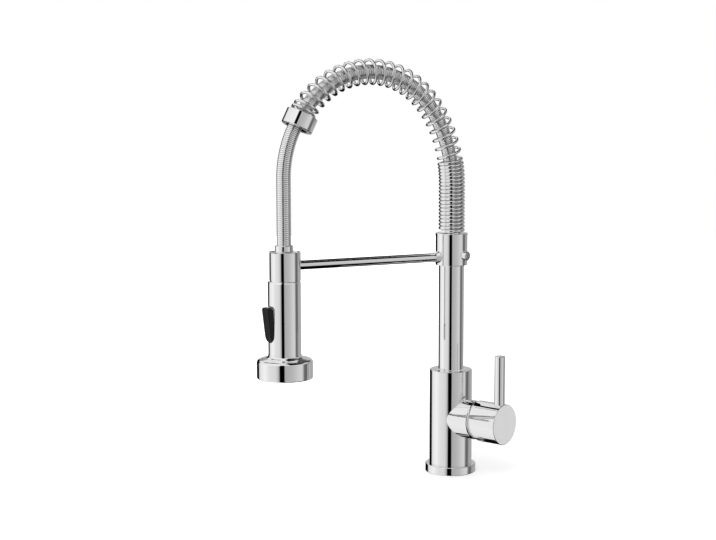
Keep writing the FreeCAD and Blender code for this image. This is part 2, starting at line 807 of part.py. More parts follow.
def make_dome():
    outer = dome_r
    inner = outer - s.dome_wall
    spigot_in = inner - s.dome_wall
    back = pivot - housing_end

    def on_sphere(radius):
        return root(radius * radius - back * back)

    dome = turned("DomeCover", [
        (nut_end + s.slip_fit, spigot_in),
        (housing_end, spigot_in),
        (housing_end, on_sphere(inner), -inner),
        (pivot + inner * cosine(s.dome_opening), inner * sine(s.dome_opening)),
        (pivot + outer * cosine(s.dome_opening), outer * sine(s.dome_opening), outer),
        (housing_end, on_sphere(outer)),
        (housing_end, nut_r),
        (nut_end + s.slip_fit, nut_r),
    ], "x")
    keep("dome_cover", on_handle(dome))


def make_handle():
    cap = turned("HandleCap", [
        (cap_rim, cap_in),
        (cap_solid, cap_in),
        (cap_solid, stem_r + s.slip_fit),
        (lever_at + tail_r * 2 + s.free_gap, stem_r + s.slip_fit),
        (lever_at + tail_r * 2 + s.free_gap, 0),
        (cap_end, 0),
        (cap_end, cap_r - s.edge, s.edge),
        (cap_end - s.edge, cap_r),
        (cap_rim, cap_r),
    ], "x")

    def slant(sketch):
        outline(sketch, [
            (cap_rim, cap_r),
            (cap_rim, -cap_r),
            (cap_low, -cap_r),
        ])

    def lever_hole(sketch):
        ring(sketch, lever_at, 0, tail_r + s.slip_fit)

    def lever_seat(sketch):
        ring(sketch, lever_at, 0, lever_r + s.slip_fit)

    pocketed(cap, "RimSlant", "XZ_Plane", slant, both=True)
    pocketed(cap, "LeverHole", "XY_Plane", lever_hole, upward=True)
    pocketed(cap, "LeverSeat", "XY_Plane", lever_seat, upward=True, offset=lever_foot)
    keep("handle_cap", on_handle(cap))

    top = cap_r + s.lever_length
    lever = turned("LeverPin", [
        (0, stem_r + s.slip_fit),
        (tail_r, stem_r + s.slip_fit),
        (tail_r, lever_foot),
        (lever_r, lever_foot),
        (lever_r, top - s.edge, s.edge),
        (lever_r - s.edge, top),
        (0, top),
    ])
    placed(lever, x=lever_at * cosine(s.handle_angle), y=lever_at * sine(s.handle_angle), z=s.handle_level)
    keep("lever_pin", lever)


def make_swivel():
    seal_r = s.riser_seal_cord / 2
    groove_r = socket_r - s.riser_seal_cord - s.slip_fit * 2
    half = seal_r + s.slip_fit
    first = foot_bottom + s.riser_foot_height / 2 - s.riser_seal_step / 2
    second = first + s.riser_seal_step
    flange_r = socket_r - s.running_fit
    waterway = s.riser_waterway / 2
    washer = turned("SwivelWasher", [
        (waterway, socket_floor),
        (socket_r - s.slip_fit, socket_floor),
        (socket_r - s.slip_fit, foot_bottom),
        (waterway, foot_bottom),
    ])
    keep("swivel_washer", washer)
    foot = turned("RiserFoot", [
        (waterway, foot_bottom),
        (flange_r, foot_bottom),
        (flange_r, first - half),
        (groove_r, first - half),
        (groove_r, first + half),
        (flange_r, first + half),
        (flange_r, second - half),
        (groove_r, second - half),
        (groove_r, second + half),
        (flange_r, second + half),
        (flange_r, riser_bottom),
        (riser_in - s.slip_fit, riser_bottom),
        (riser_in - s.slip_fit, riser_bottom + s.riser_spigot),
        (waterway, riser_bottom + s.riser_spigot),
    ])
    keep("riser_foot", foot)
    middle = groove_r + s.slip_fit + seal_r
    rings = [o_ring("RiserSeal%d" % k, middle, s.riser_seal_cord, level)
             for k, level in enumerate((first, second), start=1)]
    keep("riser_seals", grouped("RiserSeals", rings))
    bush = turned("SwivelBush", [
        (riser_r + s.running_fit, riser_bottom + s.free_gap),
        (socket_r, riser_bottom + s.free_gap),
        (socket_r, s.body_height),
        (riser_r + s.running_fit, s.body_height),
    ])
    keep("swivel_bush", bush)
    riser = turned("RiserTube", [
        (riser_in, riser_bottom),
        (riser_r, riser_bottom),
        (riser_r, riser_top),
        (riser_in, riser_top),
    ])
    keep("riser_tube", riser)


def make_collar():
    bottom = s.collar_level - arm_level
    top = collar_top - arm_level
    web_low = riser_top - arm_level
    web_high = web_top - arm_level
    bore_r = riser_r + s.slip_fit
    thread_r = seat_thread_r + s.slip_fit
    hole_r = s.adaptor_spigot_diameter / 2 + s.slip_fit
    collar = turned("ArmCollar", [
        (bore_r, bottom),
        (collar_r - s.edge, bottom),
        (collar_r, bottom + s.edge),
        (collar_r, top - s.edge),
        (collar_r - s.edge, top),
        (thread_r, top),
        (thread_r, web_high),
        (hole_r, web_high),
        (hole_r, web_low),
        (bore_r, web_low),
    ])
    bored(collar, "ArmSeat", [
        (0, 0),
        (collar_r, 0),
        (collar_r, arm_foot_r + s.slip_fit),
        (collar_r - s.arm_seat, arm_foot_r + s.slip_fit),
        (collar_r - s.arm_seat, s.arm_spigot_diameter / 2 + s.slip_fit),
        (0, s.arm_spigot_diameter / 2 + s.slip_fit),
    ], "x")
    on_arm(collar)
    drill = turned("ScrewDrill", [
        (0, 0),
        (collar_r + s.edge, 0),
        (collar_r + s.edge, s.screw_diameter / 2 + s.slip_fit),
        (0, s.screw_diameter / 2 + s.slip_fit),
    ], "x")
    placed(drill, z=screw_level, angle=s.screw_angle)
    keep("arm_collar", cut("DrilledCollar", collar, drill))

    head = collar_r + s.screw_head_height
    head_r = s.screw_head_diameter / 2
    screw = turned("ClampScrew", [
        (riser_r + s.slip_fit, 0),
        (head - s.screw_socket + s.edge, 0),
        (head - s.screw_socket + s.edge, s.screw_diameter / 2 - s.edge),
        (head, s.screw_diameter / 2 - s.edge),
        (head, head_r - s.edge),
        (head - s.edge, head_r),
        (collar_r, head_r),
        (collar_r, s.screw_diameter / 2),
        (riser_r + s.slip_fit, s.screw_diameter / 2),
    ], "x")
    placed(screw, z=screw_level, angle=s.screw_angle)
    keep("clamp_screw", screw)

    seat = turned("SpringSeat", [
        (seat_in, web_top),
        (seat_thread_r, web_top),
        (seat_thread_r, collar_top),
        (seat_r, collar_top),
        (seat_r, collar_top + s.seat_height - s.edge),
        (seat_r - s.edge, collar_top + s.seat_height),
        (seat_in, collar_top + s.seat_height),
    ])
    keep("spring_seat", seat)

    spigot_r = s.adaptor_spigot_diameter / 2
    tail = s.hose_bore / 2 - s.slip_fit
    adaptor = turned("HoseAdaptor", [
        (s.adaptor_bore / 2, web_top - s.adaptor_spigot_length),
        (spigot_r, web_top - s.adaptor_spigot_length),
        (spigot_r, web_top),
        (seat_in - s.free_gap, web_top),
        (seat_in - s.free_gap, hose_start),
        (tail, hose_start),
        (tail, hose_start + s.adaptor_tail),
        (s.adaptor_bore / 2, hose_start + s.adaptor_tail),
    ])
    keep("hose_adaptor", adaptor)


def make_arm():
    spigot_r = s.arm_spigot_diameter / 2
    start = collar_r - s.arm_seat
    end = s.reach - spray_r + s.arm_seat
    arm = turned("SupportArm", [
        (riser_r + s.slip_fit * 2, 0),
        (end, 0),
        (end, arm_r),
        (collar_r + s.arm_flare_length, arm_r),
        (start, arm_foot_r),
        (start, spigot_r),
        (riser_r + s.slip_fit * 2, spigot_r),
    ], "x")
    keep("support_arm", on_arm(arm))

    bottom = clip_level - arm_level
    top = clip_top - arm_level
    clip = new_body("HolderClip")
    sketch = sketch_on(clip, "XZ_Plane", "ClipOutline")
    outline(sketch, [
        (clip_in, bottom),
        (spray_r, bottom),
        (spray_r, top),
        (clip_in, top),
    ])
    wall = clip.newObject("PartDesign::Revolution", "ClipWall")
    wall.Profile = sketch
    wall.ReferenceAxis = (sketch, ["V_Axis"])
    wall.Midplane = True
    wall.setExpression("Angle", (-s.clip_mouth + 360).text)
    bored(clip, "ClipArmSeat", [
        (spray_r - s.arm_seat, 0),
        (spray_r, 0),
        (spray_r, arm_r + s.slip_fit),
        (spray_r - s.arm_seat, arm_r + s.slip_fit),
    ], "x")
    placed(clip, x=-s.reach, z=arm_level)
    keep("holder_clip", clip)


class Route:
    """The line of the hose: straight up, over three bends of the arch and straight down."""

    def __init__(self, start_level, end_level):
        turns = [math.radians(s.rise_turn.number), math.radians(s.crown_turn.number)]
        turns.append(math.pi - sum(turns))
        left = turns[0] + turns[1]
        x = -rise_radius.number * (1 - math.cos(turns[0]))
        x -= crown_radius.number * (math.cos(turns[0]) - math.cos(left))
        fall_radius = (s.reach.number + x) / (1 + math.cos(left))
        radii = [rise_radius.number, crown_radius.number, fall_radius]
        self.pieces = []
        place = FreeCAD.Vector(0, 0, start_level)
        heading = 0.0
        place = self.add(place, heading, bend_level.number - start_level, 0)
        for radius, turn in zip(radii, turns):
            place = self.add(place, heading, radius * turn, radius)
            heading += turn
        self.add(place, heading, place.z - end_level, 0)
        self.length = sum(piece[2] for piece in self.pieces)
        self.bends = list(zip(radii, turns))

    @staticmethod
    def frame(heading):
        """Direction of travel and the normal towards the inside of the arch."""
        ahead = FreeCAD.Vector(-math.sin(heading), 0, math.cos(heading))
        inward = FreeCAD.Vector(-math.cos(heading), 0, -math.sin(heading))
        return ahead, inward

    def add(self, place, heading, length, radius):
        self.pieces.append((place, heading, length, radius))
        return self.along_piece(self.pieces[-1], length)[0]

    def along_piece(self, piece, run):
        place, heading, length, radius = piece
        ahead, inward = self.frame(heading)
        if radius == 0:
            return place + ahead * run, heading
        later = heading + run / radius
        return place + inward * radius - self.frame(later)[1] * radius, later

    def at(self, run):
        """Point and heading after a length of hose."""
        for piece in self.pieces[:-1]:
            if run <= piece[2]:
                return self.along_piece(piece, run)
            run -= piece[2]
        return self.along_piece(self.pieces[-1], run)

    def run_to_turn(self, turn):
        """Length of hose up to a turn of the arch."""
        run = self.pieces[0][2]
        for radius, angle in self.bends:
            if turn <= angle:
                return run + radius * turn
            run += radius * angle
            turn -= angle
        return run


def make_hose():
    route = Route(hose_start.number, hose_end.number)
    crest = s.hose_diameter.number / 2
    groove = crest - s.hose_rib.number
    count = int(s.rib_count.number)
    pitch = route.length / count
    profile = (groove, crest, crest, groove)
    steady = FreeCAD.Vector(0, 1, 0)

    def circle_at(run, radius):
        place, heading = route.at(run)
        circle = Part.Circle(place, Route.frame(heading)[0], radius)
        circle.XAxis = steady
        return Part.Wire(circle.toShape())

    circles = [circle_at((rib + step / CIRCLES_PER_RIB) * pitch, radius)
               for rib in range(count) for step, radius in enumerate(profile)]
    circles.append(circle_at(route.length, groove))
    jacket = Part.makeLoft(circles, True, True)
    spine = []
    for place, heading, length, radius in route.pieces:
        piece = (place, heading, length, radius)
        end = route.along_piece(piece, length)[0]
        if radius == 0:
            spine.append(Part.LineSegment(place, end).toShape())
        else:
            spine.append(Part.Arc(place, route.along_piece(piece, length / 2)[0], end).toShape())
    mouth = Part.Wire(Part.Circle(spine[0].Vertexes[0].Point, FreeCAD.Vector(0, 0, 1),
                                  s.hose_bore.number / 2).toShape())
    bore = Part.Wire(spine).makePipeShell([mouth], True, False)
    hose = doc.addObject("Part::Feature", "SprayHose")
    hose.Shape = jacket.cut(bore)
    print("hose length %.1f, rib pitch %.2f" % (route.length, pitch))
    keep("spray_hose", hose)


def spring_places():
    """Function of the turn number that gives the wire's middle line, and the last turn's number."""
    start = collar_top.number + s.spring_wire.number / 2 + s.free_gap.number
    route = Route(start, hose_end.number)
    end_run = route.run_to_turn(math.radians(s.spring_end_turn.number))
    dense = round(s.dense_turns.number)
    last = dense + round(s.open_turns.number) + 2
    middle_r = (s.spring_diameter.number - s.spring_wire.number) / 2

    def knots(open_pitch):
        return [(0, dense_pitch.number), (dense, dense_pitch.number), (dense + 1, open_pitch),
                (last - 2, open_pitch), (last - 1, end_pitch.number), (last, end_pitch.number)]

    def run_at(turn, open_pitch):
        run = 0.0
        marks = knots(open_pitch)
        for (low, low_pitch), (high, high_pitch) in zip(marks, marks[1:]):
            part = min(max(turn - low, 0), high - low)
            run += part * low_pitch + (high_pitch - low_pitch) * part * part / (high - low) / 2
        return run

    fixed = run_at(last, 0)
    open_pitch = (end_run - fixed) / (run_at(last, 1) - fixed)

    def place_at(turn):
        place, heading = route.at(run_at(turn, open_pitch))
        inward = Route.frame(heading)[1]
        angle = 2 * math.pi * turn
        return place + inward * (middle_r * math.cos(angle)) + FreeCAD.Vector(0, -middle_r * math.sin(angle), 0)

    return place_at, last, open_pitch, route.at(end_run)


def arc_from(start, direction, end):
    """The arc that leaves start along a direction and ends at end."""
    chord = end - start
    aside = direction - chord * (direction.dot(chord) / chord.dot(chord))
    half = math.atan2(aside.Length, direction.dot(chord) / chord.Length)
    aside.normalize()
    middle = start + chord * 0.5 + aside * (chord.Length / 2 * math.tan(half / 2))
    return Part.Arc(start, middle, end).toShape()


def biarc(start, start_way, end, end_way):
    """Two arcs that join two points and keep both directions."""
    span = end - start
    ways = start_way + end_way
    a = 2 * (1 - start_way.dot(end_way))
    b = span.dot(ways)
    reach = (math.sqrt(b * b + a * span.dot(span)) - b) / a
    middle = (start + start_way * reach + end - end_way * reach) * 0.5
    first = arc_from(start, start_way, middle)
    back = arc_from(end, end_way * -1, middle)
    return [first, back]


def least_gap(places, skip, wire):
    """Least clear distance between stretches of the wire that are more than half a turn apart."""
    least = None
    for k, here in enumerate(places):
        for there in places[k + skip:k + skip * 4]:
            distance = here.distanceToPoint(there)
            if least is None or distance < least:
                least = distance
    return least - wire


def make_spring():
    place_at, last, open_pitch, end = spring_places()
    wire = s.spring_wire.number
    step = 1 / QUARTERS / GAP_SAMPLES

    def way_at(turn):
        way = place_at(turn + step) - place_at(turn - step)
        return way.normalize()

    marks = [k / QUARTERS for k in range(int(last) * QUARTERS + 1)]
    places = [place_at(mark) for mark in marks]
    ways = [way_at(mark) for mark in marks]
    tail_in = places[0] - ways[0] * wire
    tail_out = places[-1] + ways[-1] * wire
    edges = [Part.LineSegment(tail_in, places[0]).toShape()]
    for k in range(len(marks) - 1):
        edges += biarc(places[k], ways[k], places[k + 1], ways[k + 1])
    edges.append(Part.LineSegment(places[-1], tail_out).toShape())
    spine = Part.Wire(Part.__sortEdges__(edges))
    mouth = Part.Wire(Part.Circle(tail_in, ways[0], wire / 2).toShape())
    coil = spine.makePipeShell([mouth], True, False)
    samples = [place_at(k / GAP_SAMPLES) for k in range(int(last) * GAP_SAMPLES + 1)]
    gap = least_gap(samples, GAP_SAMPLES // 2, wire)
    print("spring turns %d, open pitch %.2f, least gap to itself %.2f" % (last, open_pitch, gap))
    if gap < LEAST_SPRING_GAP:
        raise RuntimeError("the spring's turns touch")
    spring = doc.addObject("Part::Feature", "TowerSpring")
    spring.Shape = coil
    keep("tower_spring", spring)
    return end


def make_cup(end):
    """The cup hangs on the spring's last turn, with its seat just under that turn."""
    place = end[0]
    lean = math.radians(s.cup_lag.number)
    middle_r = (s.spring_diameter.number - s.spring_wire.number) / 2
    floor = -(middle_r * math.sin(lean) + s.spring_wire.number / 2 + s.free_gap.number)
    rim = s.cup_recess + floor
    cup = turned("SpringCup", [
        (s.cup_bore / 2, rim - s.cup_length),
        (cup_r - s.edge, rim - s.cup_length),
        (cup_r, rim - s.cup_length + s.edge),
        (cup_r, rim - s.edge),
        (cup_r - s.edge, rim),
        (recess_r, rim),
        (recess_r, rim - s.cup_recess),
        (s.cup_bore / 2, rim - s.cup_recess),
    ])
    placed(cup, x=place.x, z=place.z, axis=(0, 1, 0), angle=cup_tilt)
    keep("spring_cup", cup)


def make_ferrule():
    spigot_r = s.ferrule_spigot_diameter / 2
    sleeve_in = hose_r + s.free_gap
    ferrule_r = sleeve_in + s.ferrule_wall
    ferrule = turned("HoseFerrule", [
        (s.adaptor_bore / 2, neck_top - s.ferrule_spigot_length),
        (spigot_r, neck_top - s.ferrule_spigot_length),
        (spigot_r, ferrule_bottom),
        (ferrule_r - s.edge, ferrule_bottom),
        (ferrule_r, ferrule_bottom + s.edge),
        (ferrule_r, ferrule_top - s.edge),
        (ferrule_r - s.edge, ferrule_top),
        (sleeve_in, ferrule_top),
        (sleeve_in, hose_end - s.free_gap),
        (s.adaptor_bore / 2, hose_end - s.free_gap),
    ])
    keep("hose_ferrule", on_spray(ferrule))


def trigger_outline(sketch, grow, lift):
    """The trigger seen from the front: a rounded tip below and a broad upper end."""
    tip = s.trigger_tip_width / 2 + grow
    broad = s.trigger_width / 2 + grow
    corner = s.trigger_round + grow
    low = trigger_level - grow
    high = trigger_top + grow + lift
    outline(sketch, [
        (0, low, tip),
        (tip, low + tip),
        (broad, high - corner, corner),
        (broad - corner, high),
        (corner - broad, high, corner),
        (-broad, high - corner),
        (-tip, low + tip, tip),
    ])


def make_spray_body():
    bearing_r = s.ferrule_spigot_diameter / 2 + s.running_fit
    line_top = shoulder_level + s.neck_line_height
    body = turned("SprayBody", [
        (spray_in, spray_bottom),
        (spray_r, spray_bottom),
        (spray_r, shoulder_level - s.shoulder_bevel),
        (spray_r - s.edge, shoulder_level),
        (neck_r - s.neck_line, shoulder_level),
        (neck_r - s.neck_line, line_top),
        (neck_r, line_top),
        (neck_r, neck_top - s.edge),
        (neck_r - s.edge, neck_top),
        (bearing_r, neck_top),
        (bearing_r, neck_top - s.ferrule_spigot_length - s.free_gap),
        (s.neck_bore / 2, neck_top - s.ferrule_spigot_length - s.free_gap),
        (s.neck_bore / 2, valve_top + s.spray_wall),
        (spray_in, valve_top),
    ])
    lug_half = s.trigger_lug_width / 2 + s.free_gap
    lug_room = s.trigger_lug_radius + s.free_gap

    def recess(sketch):
        trigger_outline(sketch, s.free_gap, trigger_lift)

    def lug_slot(sketch):
        outline(sketch, [
            (-lug_half, trigger_pivot - lug_room),
            (lug_half, trigger_pivot - lug_room),
            (lug_half, trigger_pivot + lug_room),
            (-lug_half, trigger_pivot + lug_room),
        ])

    def pin_hole(sketch):
        ring(sketch, -pivot_depth, trigger_pivot, s.trigger_pin_diameter / 2)

    pocketed(body, "TriggerRecess", "YZ_Plane", recess, offset=-(spray_in - s.edge))
    pocketed(body, "LugSlot", "YZ_Plane", lug_slot, offset=-(pivot_depth - lug_room))
    pocketed(body, "TriggerPinHole", "XZ_Plane", pin_hole, both=True)
    keep("spray_body", on_spray(body))


def make_spray_inside():
    block_r = spray_in - s.slip_fit
    plunger_r = s.plunger_diameter / 2
    axis = plunger_level
    block = turned("ValveBlock", [
        (0, valve_level - axis),
        (block_r, valve_level - axis),
        (block_r, valve_top - axis),
        (0, valve_top - axis),
    ])
    bored(block, "PlungerBore", [
        (-block_r, 0),
        (s.plunger_depth + s.plunger_stroke, 0),
        (s.plunger_depth + s.plunger_stroke, plunger_r + s.running_fit),
        (-block_r, plunger_r + s.running_fit),
    ], "x")
    placed(block, x=-s.reach, z=plunger_level)
    keep("valve_block", block)

    back = trigger_back_at(plunger_level) - s.plunger_play
    plunger = turned("DiverterPlunger", [
        (-back, 0),
        (s.plunger_depth, 0),
        (s.plunger_depth, plunger_r),
        (s.edge * 2 - back, plunger_r),
        (-back, plunger_r - s.edge * 2),
    ], "x")
    placed(plunger, x=-s.reach, z=plunger_level)
    keep("diverter_plunger", plunger)

    valve_bottom = valve_top + s.spray_wall
    valve_r = s.neck_bore / 2 - s.slip_fit
    check_valve = turned("CheckValve", [
        (s.check_valve_bore / 2, valve_bottom),
        (valve_r, valve_bottom),
        (valve_r, valve_bottom + s.check_valve_length),
        (s.check_valve_bore / 2, valve_bottom + s.check_valve_length),
    ])
    keep("check_valve", on_spray(check_valve))


def trigger_back_at(level):
    """Distance of the trigger's back from the spray's axis at a height above the pivot."""
    top_back = spray_r + s.trigger_proud - s.trigger_thickness
    low_back = pivot_depth + s.trigger_lug_radius
    share = (level - trigger_pivot) / (trigger_top - trigger_pivot)
    return low_back + (top_back - low_back) * share


def make_trigger():
    front_top = spray_r + s.trigger_proud
    front_low = spray_r + s.trigger_tip_proud
    lug = s.trigger_lug_radius
    side = new_body("TriggerSide")

    def profile(sketch):
        outline(sketch, [
            (-front_low, trigger_level),
            (-pivot_depth - lug, trigger_level),
            (-trigger_back_at(trigger_pivot), trigger_pivot),
            (-trigger_back_at(trigger_top), trigger_top),
            (-(front_top - s.trigger_tip_proud), trigger_top),
            (-front_top, trigger_top - s.trigger_round),
        ])

    def lug_shape(sketch):
        outline(sketch, [
            (-pivot_depth - lug, trigger_pivot - lug),
            (-pivot_depth, trigger_pivot - lug, lug),
            (-pivot_depth + lug, trigger_pivot, lug),
            (-pivot_depth, trigger_pivot + lug),
            (-pivot_depth - lug, trigger_pivot + lug),
        ])

    def pin_hole(sketch):
        ring(sketch, -pivot_depth, trigger_pivot, s.trigger_pin_diameter / 2 + s.running_fit)

    padded(side, "TriggerFace", "XZ_Plane", s.trigger_width, profile)
    padded(side, "TriggerLug", "XZ_Plane", s.trigger_lug_width, lug_shape)
    pocketed(side, "TriggerHole", "XZ_Plane", pin_hole, both=True)
    on_spray(side)
    front = new_body("TriggerFront")

    def shape(sketch):
        trigger_outline(sketch, s.edge * 0, s.edge * 0)

    padded(front, "TriggerShape", "YZ_Plane", front_top * 2, shape)
    on_spray(front)
    keep("spray_trigger", common("SprayTrigger", side, front))

    pin = new_body("TriggerPin")
    pin_r_small = s.trigger_pin_diameter / 2

    def pin_shape(sketch):
        ring(sketch, -pivot_depth, trigger_pivot, pin_r_small)

    padded(pin, "TriggerPinPad", "XZ_Plane", s.trigger_pin_length, pin_shape)
    keep("trigger_pin", on_spray(pin))


def make_spray_face():
    hub_r = spray_r + s.slip_fit
    passage = s.bell_passage / 2
    seal_r = spray_in + s.spray_wall / 2
    half_cord = s.face_seal_cord / 2 + s.slip_fit
    seal_depth = s.face_seal_cord + s.slip_fit
    bell = turned("SprayBell", [
        (bell_in, spray_level),
        (bell_r - s.bell_edge, spray_level, s.bell_edge),
        (bell_r, spray_level + s.bell_edge),
        (bell_r, bell_shelf - s.bell_round, s.bell_round),
        (bell_r - s.bell_round, bell_shelf),
        (hub_r, bell_top),
        (hub_r, spray_bottom),
        (seal_r + half_cord, spray_bottom),
        (seal_r + half_cord, spray_bottom - seal_depth),
        (seal_r - half_cord, spray_bottom - seal_depth),
        (seal_r - half_cord, spray_bottom),
        (passage, spray_bottom),
        (passage, cavity_top),
        (bell_in, cavity_top),
    ])
    keep("spray_bell", on_spray(bell))

    plate_r = bell_in - s.slip_fit
    middle_r = aerator_r + s.slip_fit
    circle = s.nozzle_circle / 2
    plate = turned("NozzlePlate", [
        (middle_r, plate_level),
        (plate_r, plate_level),
        (plate_r, plate_top),
        (middle_r, plate_top),
    ])

    def nozzle_hole(sketch):
        ring(sketch, circle, 0, s.nozzle_diameter / 2 + s.slip_fit)

    hole = pocketed(plate, "NozzleHole", "XY_Plane", nozzle_hole, upward=True)
    round_pattern(plate, "NozzleHoles", hole)
    keep("nozzle_plate", on_spray(plate))

    mat = turned("SprayNozzles", [
        (middle_r, plate_top),
        (plate_r, plate_top),
        (plate_r, mat_top),
        (middle_r, mat_top),
    ])
    sketch = sketch_on(mat, "XY_Plane", "NozzleOutline")
    ring(sketch, circle, 0, s.nozzle_diameter / 2)
    sketch.setExpression("AttachmentOffset.Base.z", (plate_level - s.nozzle_proud).text)
    nub = mat.newObject("PartDesign::Pad", "Nozzle")
    nub.Profile = sketch
    nub.setExpression("Length", (s.plate_thickness + s.nozzle_proud).text)
    round_pattern(mat, "Nozzles", nub)
    keep("spray_nozzles", on_spray(mat))

    rim = plate_level - s.plate_inset / 2
    neck = passage - s.slip_fit
    top = rim + s.aerator_height
    aerator = turned("Aerator", [
        (0, rim),
        (aerator_r, rim),
        (aerator_r, cavity_top),
        (neck, cavity_top),
        (neck, top - s.edge),
        (neck - s.edge, top),
        (0, top),
    ])
    keep("aerator", on_spray(aerator))

    seal = o_ring("FaceSeal", seal_r, s.face_seal_cord, spray_bottom - s.face_seal_cord / 2)
    placed(seal, x=-s.reach)
    keep("face_seal", seal)


def round_pattern(body, name, feature):
    """Repeats a feature evenly round the body's upright axis."""
    axis = next(item for item in body.Origin.OriginFeatures if item.Role == "Z_Axis")
    pattern = body.newObject("PartDesign::PolarPattern", name)
    pattern.Originals = [feature]
    pattern.Axis = (axis, [""])
    pattern.Angle = 360
    pattern.setExpression("Occurrences", s.nozzle_count.text)
    body.Tip = pattern


make_base()
make_mixer_body()
make_cartridge()
make_moving_disc()
make_stem()
make_dome()
make_handle()
make_swivel()
make_collar()
make_arm()
make_hose()
make_cup(make_spring())
make_ferrule()
make_spray_body()
make_spray_inside()
make_trigger()
make_spray_face()
doc.recompute()

for item in doc.Objects:
    if "Invalid" in item.State or "Error" in item.State:
        raise RuntimeError("%s failed: %s" % (item.Label, item.State))
for label, item in nodes.items():
    if item.Shape.isNull() or not item.Shape.isValid() or not item.Shape.Solids:
        raise RuntimeError("%s has no sound shape" % label)

os.makedirs("parts", exist_ok=True)
for label, item in nodes.items():
    item.Shape.exportStep("parts/%s.step" % label)
print("%d sub-parts written" % len(nodes))
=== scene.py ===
import json
import math
import bmesh
import bpy
from mathutils import Matrix, Vector


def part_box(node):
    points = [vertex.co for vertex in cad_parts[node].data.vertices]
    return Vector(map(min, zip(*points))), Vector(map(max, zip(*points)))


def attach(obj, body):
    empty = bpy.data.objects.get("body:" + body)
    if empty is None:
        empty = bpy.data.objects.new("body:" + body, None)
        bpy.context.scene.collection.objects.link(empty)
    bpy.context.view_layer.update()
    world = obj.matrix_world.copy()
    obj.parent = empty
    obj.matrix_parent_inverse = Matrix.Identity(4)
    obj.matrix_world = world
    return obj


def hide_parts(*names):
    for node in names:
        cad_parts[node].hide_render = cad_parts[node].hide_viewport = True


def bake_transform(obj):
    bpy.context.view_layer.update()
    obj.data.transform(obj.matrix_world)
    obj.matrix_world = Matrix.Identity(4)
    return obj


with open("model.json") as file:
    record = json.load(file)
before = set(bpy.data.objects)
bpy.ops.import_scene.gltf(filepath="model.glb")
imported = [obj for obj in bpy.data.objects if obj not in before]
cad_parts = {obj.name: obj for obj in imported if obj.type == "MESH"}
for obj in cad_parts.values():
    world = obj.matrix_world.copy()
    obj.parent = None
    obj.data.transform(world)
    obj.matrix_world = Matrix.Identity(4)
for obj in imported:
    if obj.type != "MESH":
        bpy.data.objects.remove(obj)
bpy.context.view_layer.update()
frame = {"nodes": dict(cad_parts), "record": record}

# Sizes and places of the pieces are in millimetres, and the mesh code takes them to metres
MM = 0.001
TINY = 1e-7
UP = Vector((0, 0, 1))
ROUND_STEPS = 128
SMALL_STEPS = 64

# Places and sizes that several pieces share: the handle's axis and the spray's, and the play in a fit
HANDLE_TURN = math.radians(294)
HANDLE_WAY = Vector((math.cos(HANDLE_TURN), math.sin(HANDLE_TURN), 0))
HANDLE_LEVEL = 55.2
SPRAY_X = -178.5
SPRAY_PLACE = Matrix.Translation((SPRAY_X * MM, 0, 0))
PLAY = 0.1

# Roundings of edges
HAIR_EDGE = 0.2
FINE_EDGE = 0.3
SMALL_EDGE = 0.5
EDGE = 0.6
SOFT_EDGE = 0.8
EDGE_STEPS = 4


def linked(name, data):
    """A new object in the scene."""
    item = bpy.data.objects.new(name, data)
    bpy.context.collection.objects.link(item)
    return item


# Camera: its place in metres, its turns in degrees
CAMERA_PLACE = (-0.7035, -1.2327, 0.3687)
CAMERA_PITCH = 83.26
CAMERA_ROLL = 0.12
CAMERA_HEADING = -26.014
CAMERA_LENS = 72.9
SENSOR_WIDTH = 36


def make_camera():
    data = bpy.data.cameras.new("camera")
    data.sensor_fit = "HORIZONTAL"
    data.sensor_width = SENSOR_WIDTH
    data.lens = CAMERA_LENS
    camera = linked("camera", data)
    camera.location = CAMERA_PLACE
    camera.rotation_euler = [math.radians(turn) for turn in (CAMERA_PITCH, CAMERA_ROLL, CAMERA_HEADING)]
    bpy.context.scene.camera = camera


# Nodes
NOISE_SPREAD = (0.3, 0.7)


def node_tree(material):
    material.use_nodes = True
    tree = material.node_tree
    shader = tree.nodes["Principled BSDF"]
    place = tree.nodes.new("ShaderNodeTexCoord")
    return tree, shader, place.outputs["Object"]


def feed(tree, value, socket):
    """Links a socket to another node's output, or sets it to a fixed value."""
    if isinstance(value, bpy.types.NodeSocket):
        tree.links.new(value, socket)
    else:
        socket.default_value = value


def noise(tree, coordinates, scale, detail=3.0):
    texture = tree.nodes.new("ShaderNodeTexNoise")
    texture.inputs["Scale"].default_value = scale
    texture.inputs["Detail"].default_value = detail
    tree.links.new(coordinates, texture.inputs["Vector"])
    return texture.outputs["Fac"]


def ranged(tree, value, limits, results):
    """Takes a value from between two limits to between two results."""
    spread = tree.nodes.new("ShaderNodeMapRange")
    spread.inputs["From Min"].default_value = limits[0]
    spread.inputs["From Max"].default_value = limits[1]
    spread.inputs["To Min"].default_value = results[0]
    spread.inputs["To Max"].default_value = results[1]
    tree.links.new(value, spread.inputs["Value"])
    return spread.outputs["Result"]


def mixed(tree, kind, share, first, second):
    """Goes from a first number or colour to a second one, as a share says."""
    mix = tree.nodes.new("ShaderNodeMix")
    mix.data_type = kind
    in_use = [socket for socket in mix.inputs if socket.enabled]
    for value, socket in zip((share, first, second), in_use):
        feed(tree, value, socket)
    return next(socket for socket in mix.outputs if socket.enabled)


def arithmetic(tree, operation, first, second):
    item = tree.nodes.new("ShaderNodeMath")
    item.operation = operation
    for value, socket in zip((first, second), item.inputs):
        feed(tree, value, socket)
    return item.outputs["Value"]


def bumped(tree, shader, value, depth):
    bump = tree.nodes.new("ShaderNodeBump")
    bump.inputs["Strength"].default_value = 1.0
    bump.inputs["Distance"].default_value = depth
    tree.links.new(value, bump.inputs["Height"])
    tree.links.new(bump.outputs["Normal"], shader.inputs["Normal"])


# Finishes
GRAIN_DETAIL = 2.0


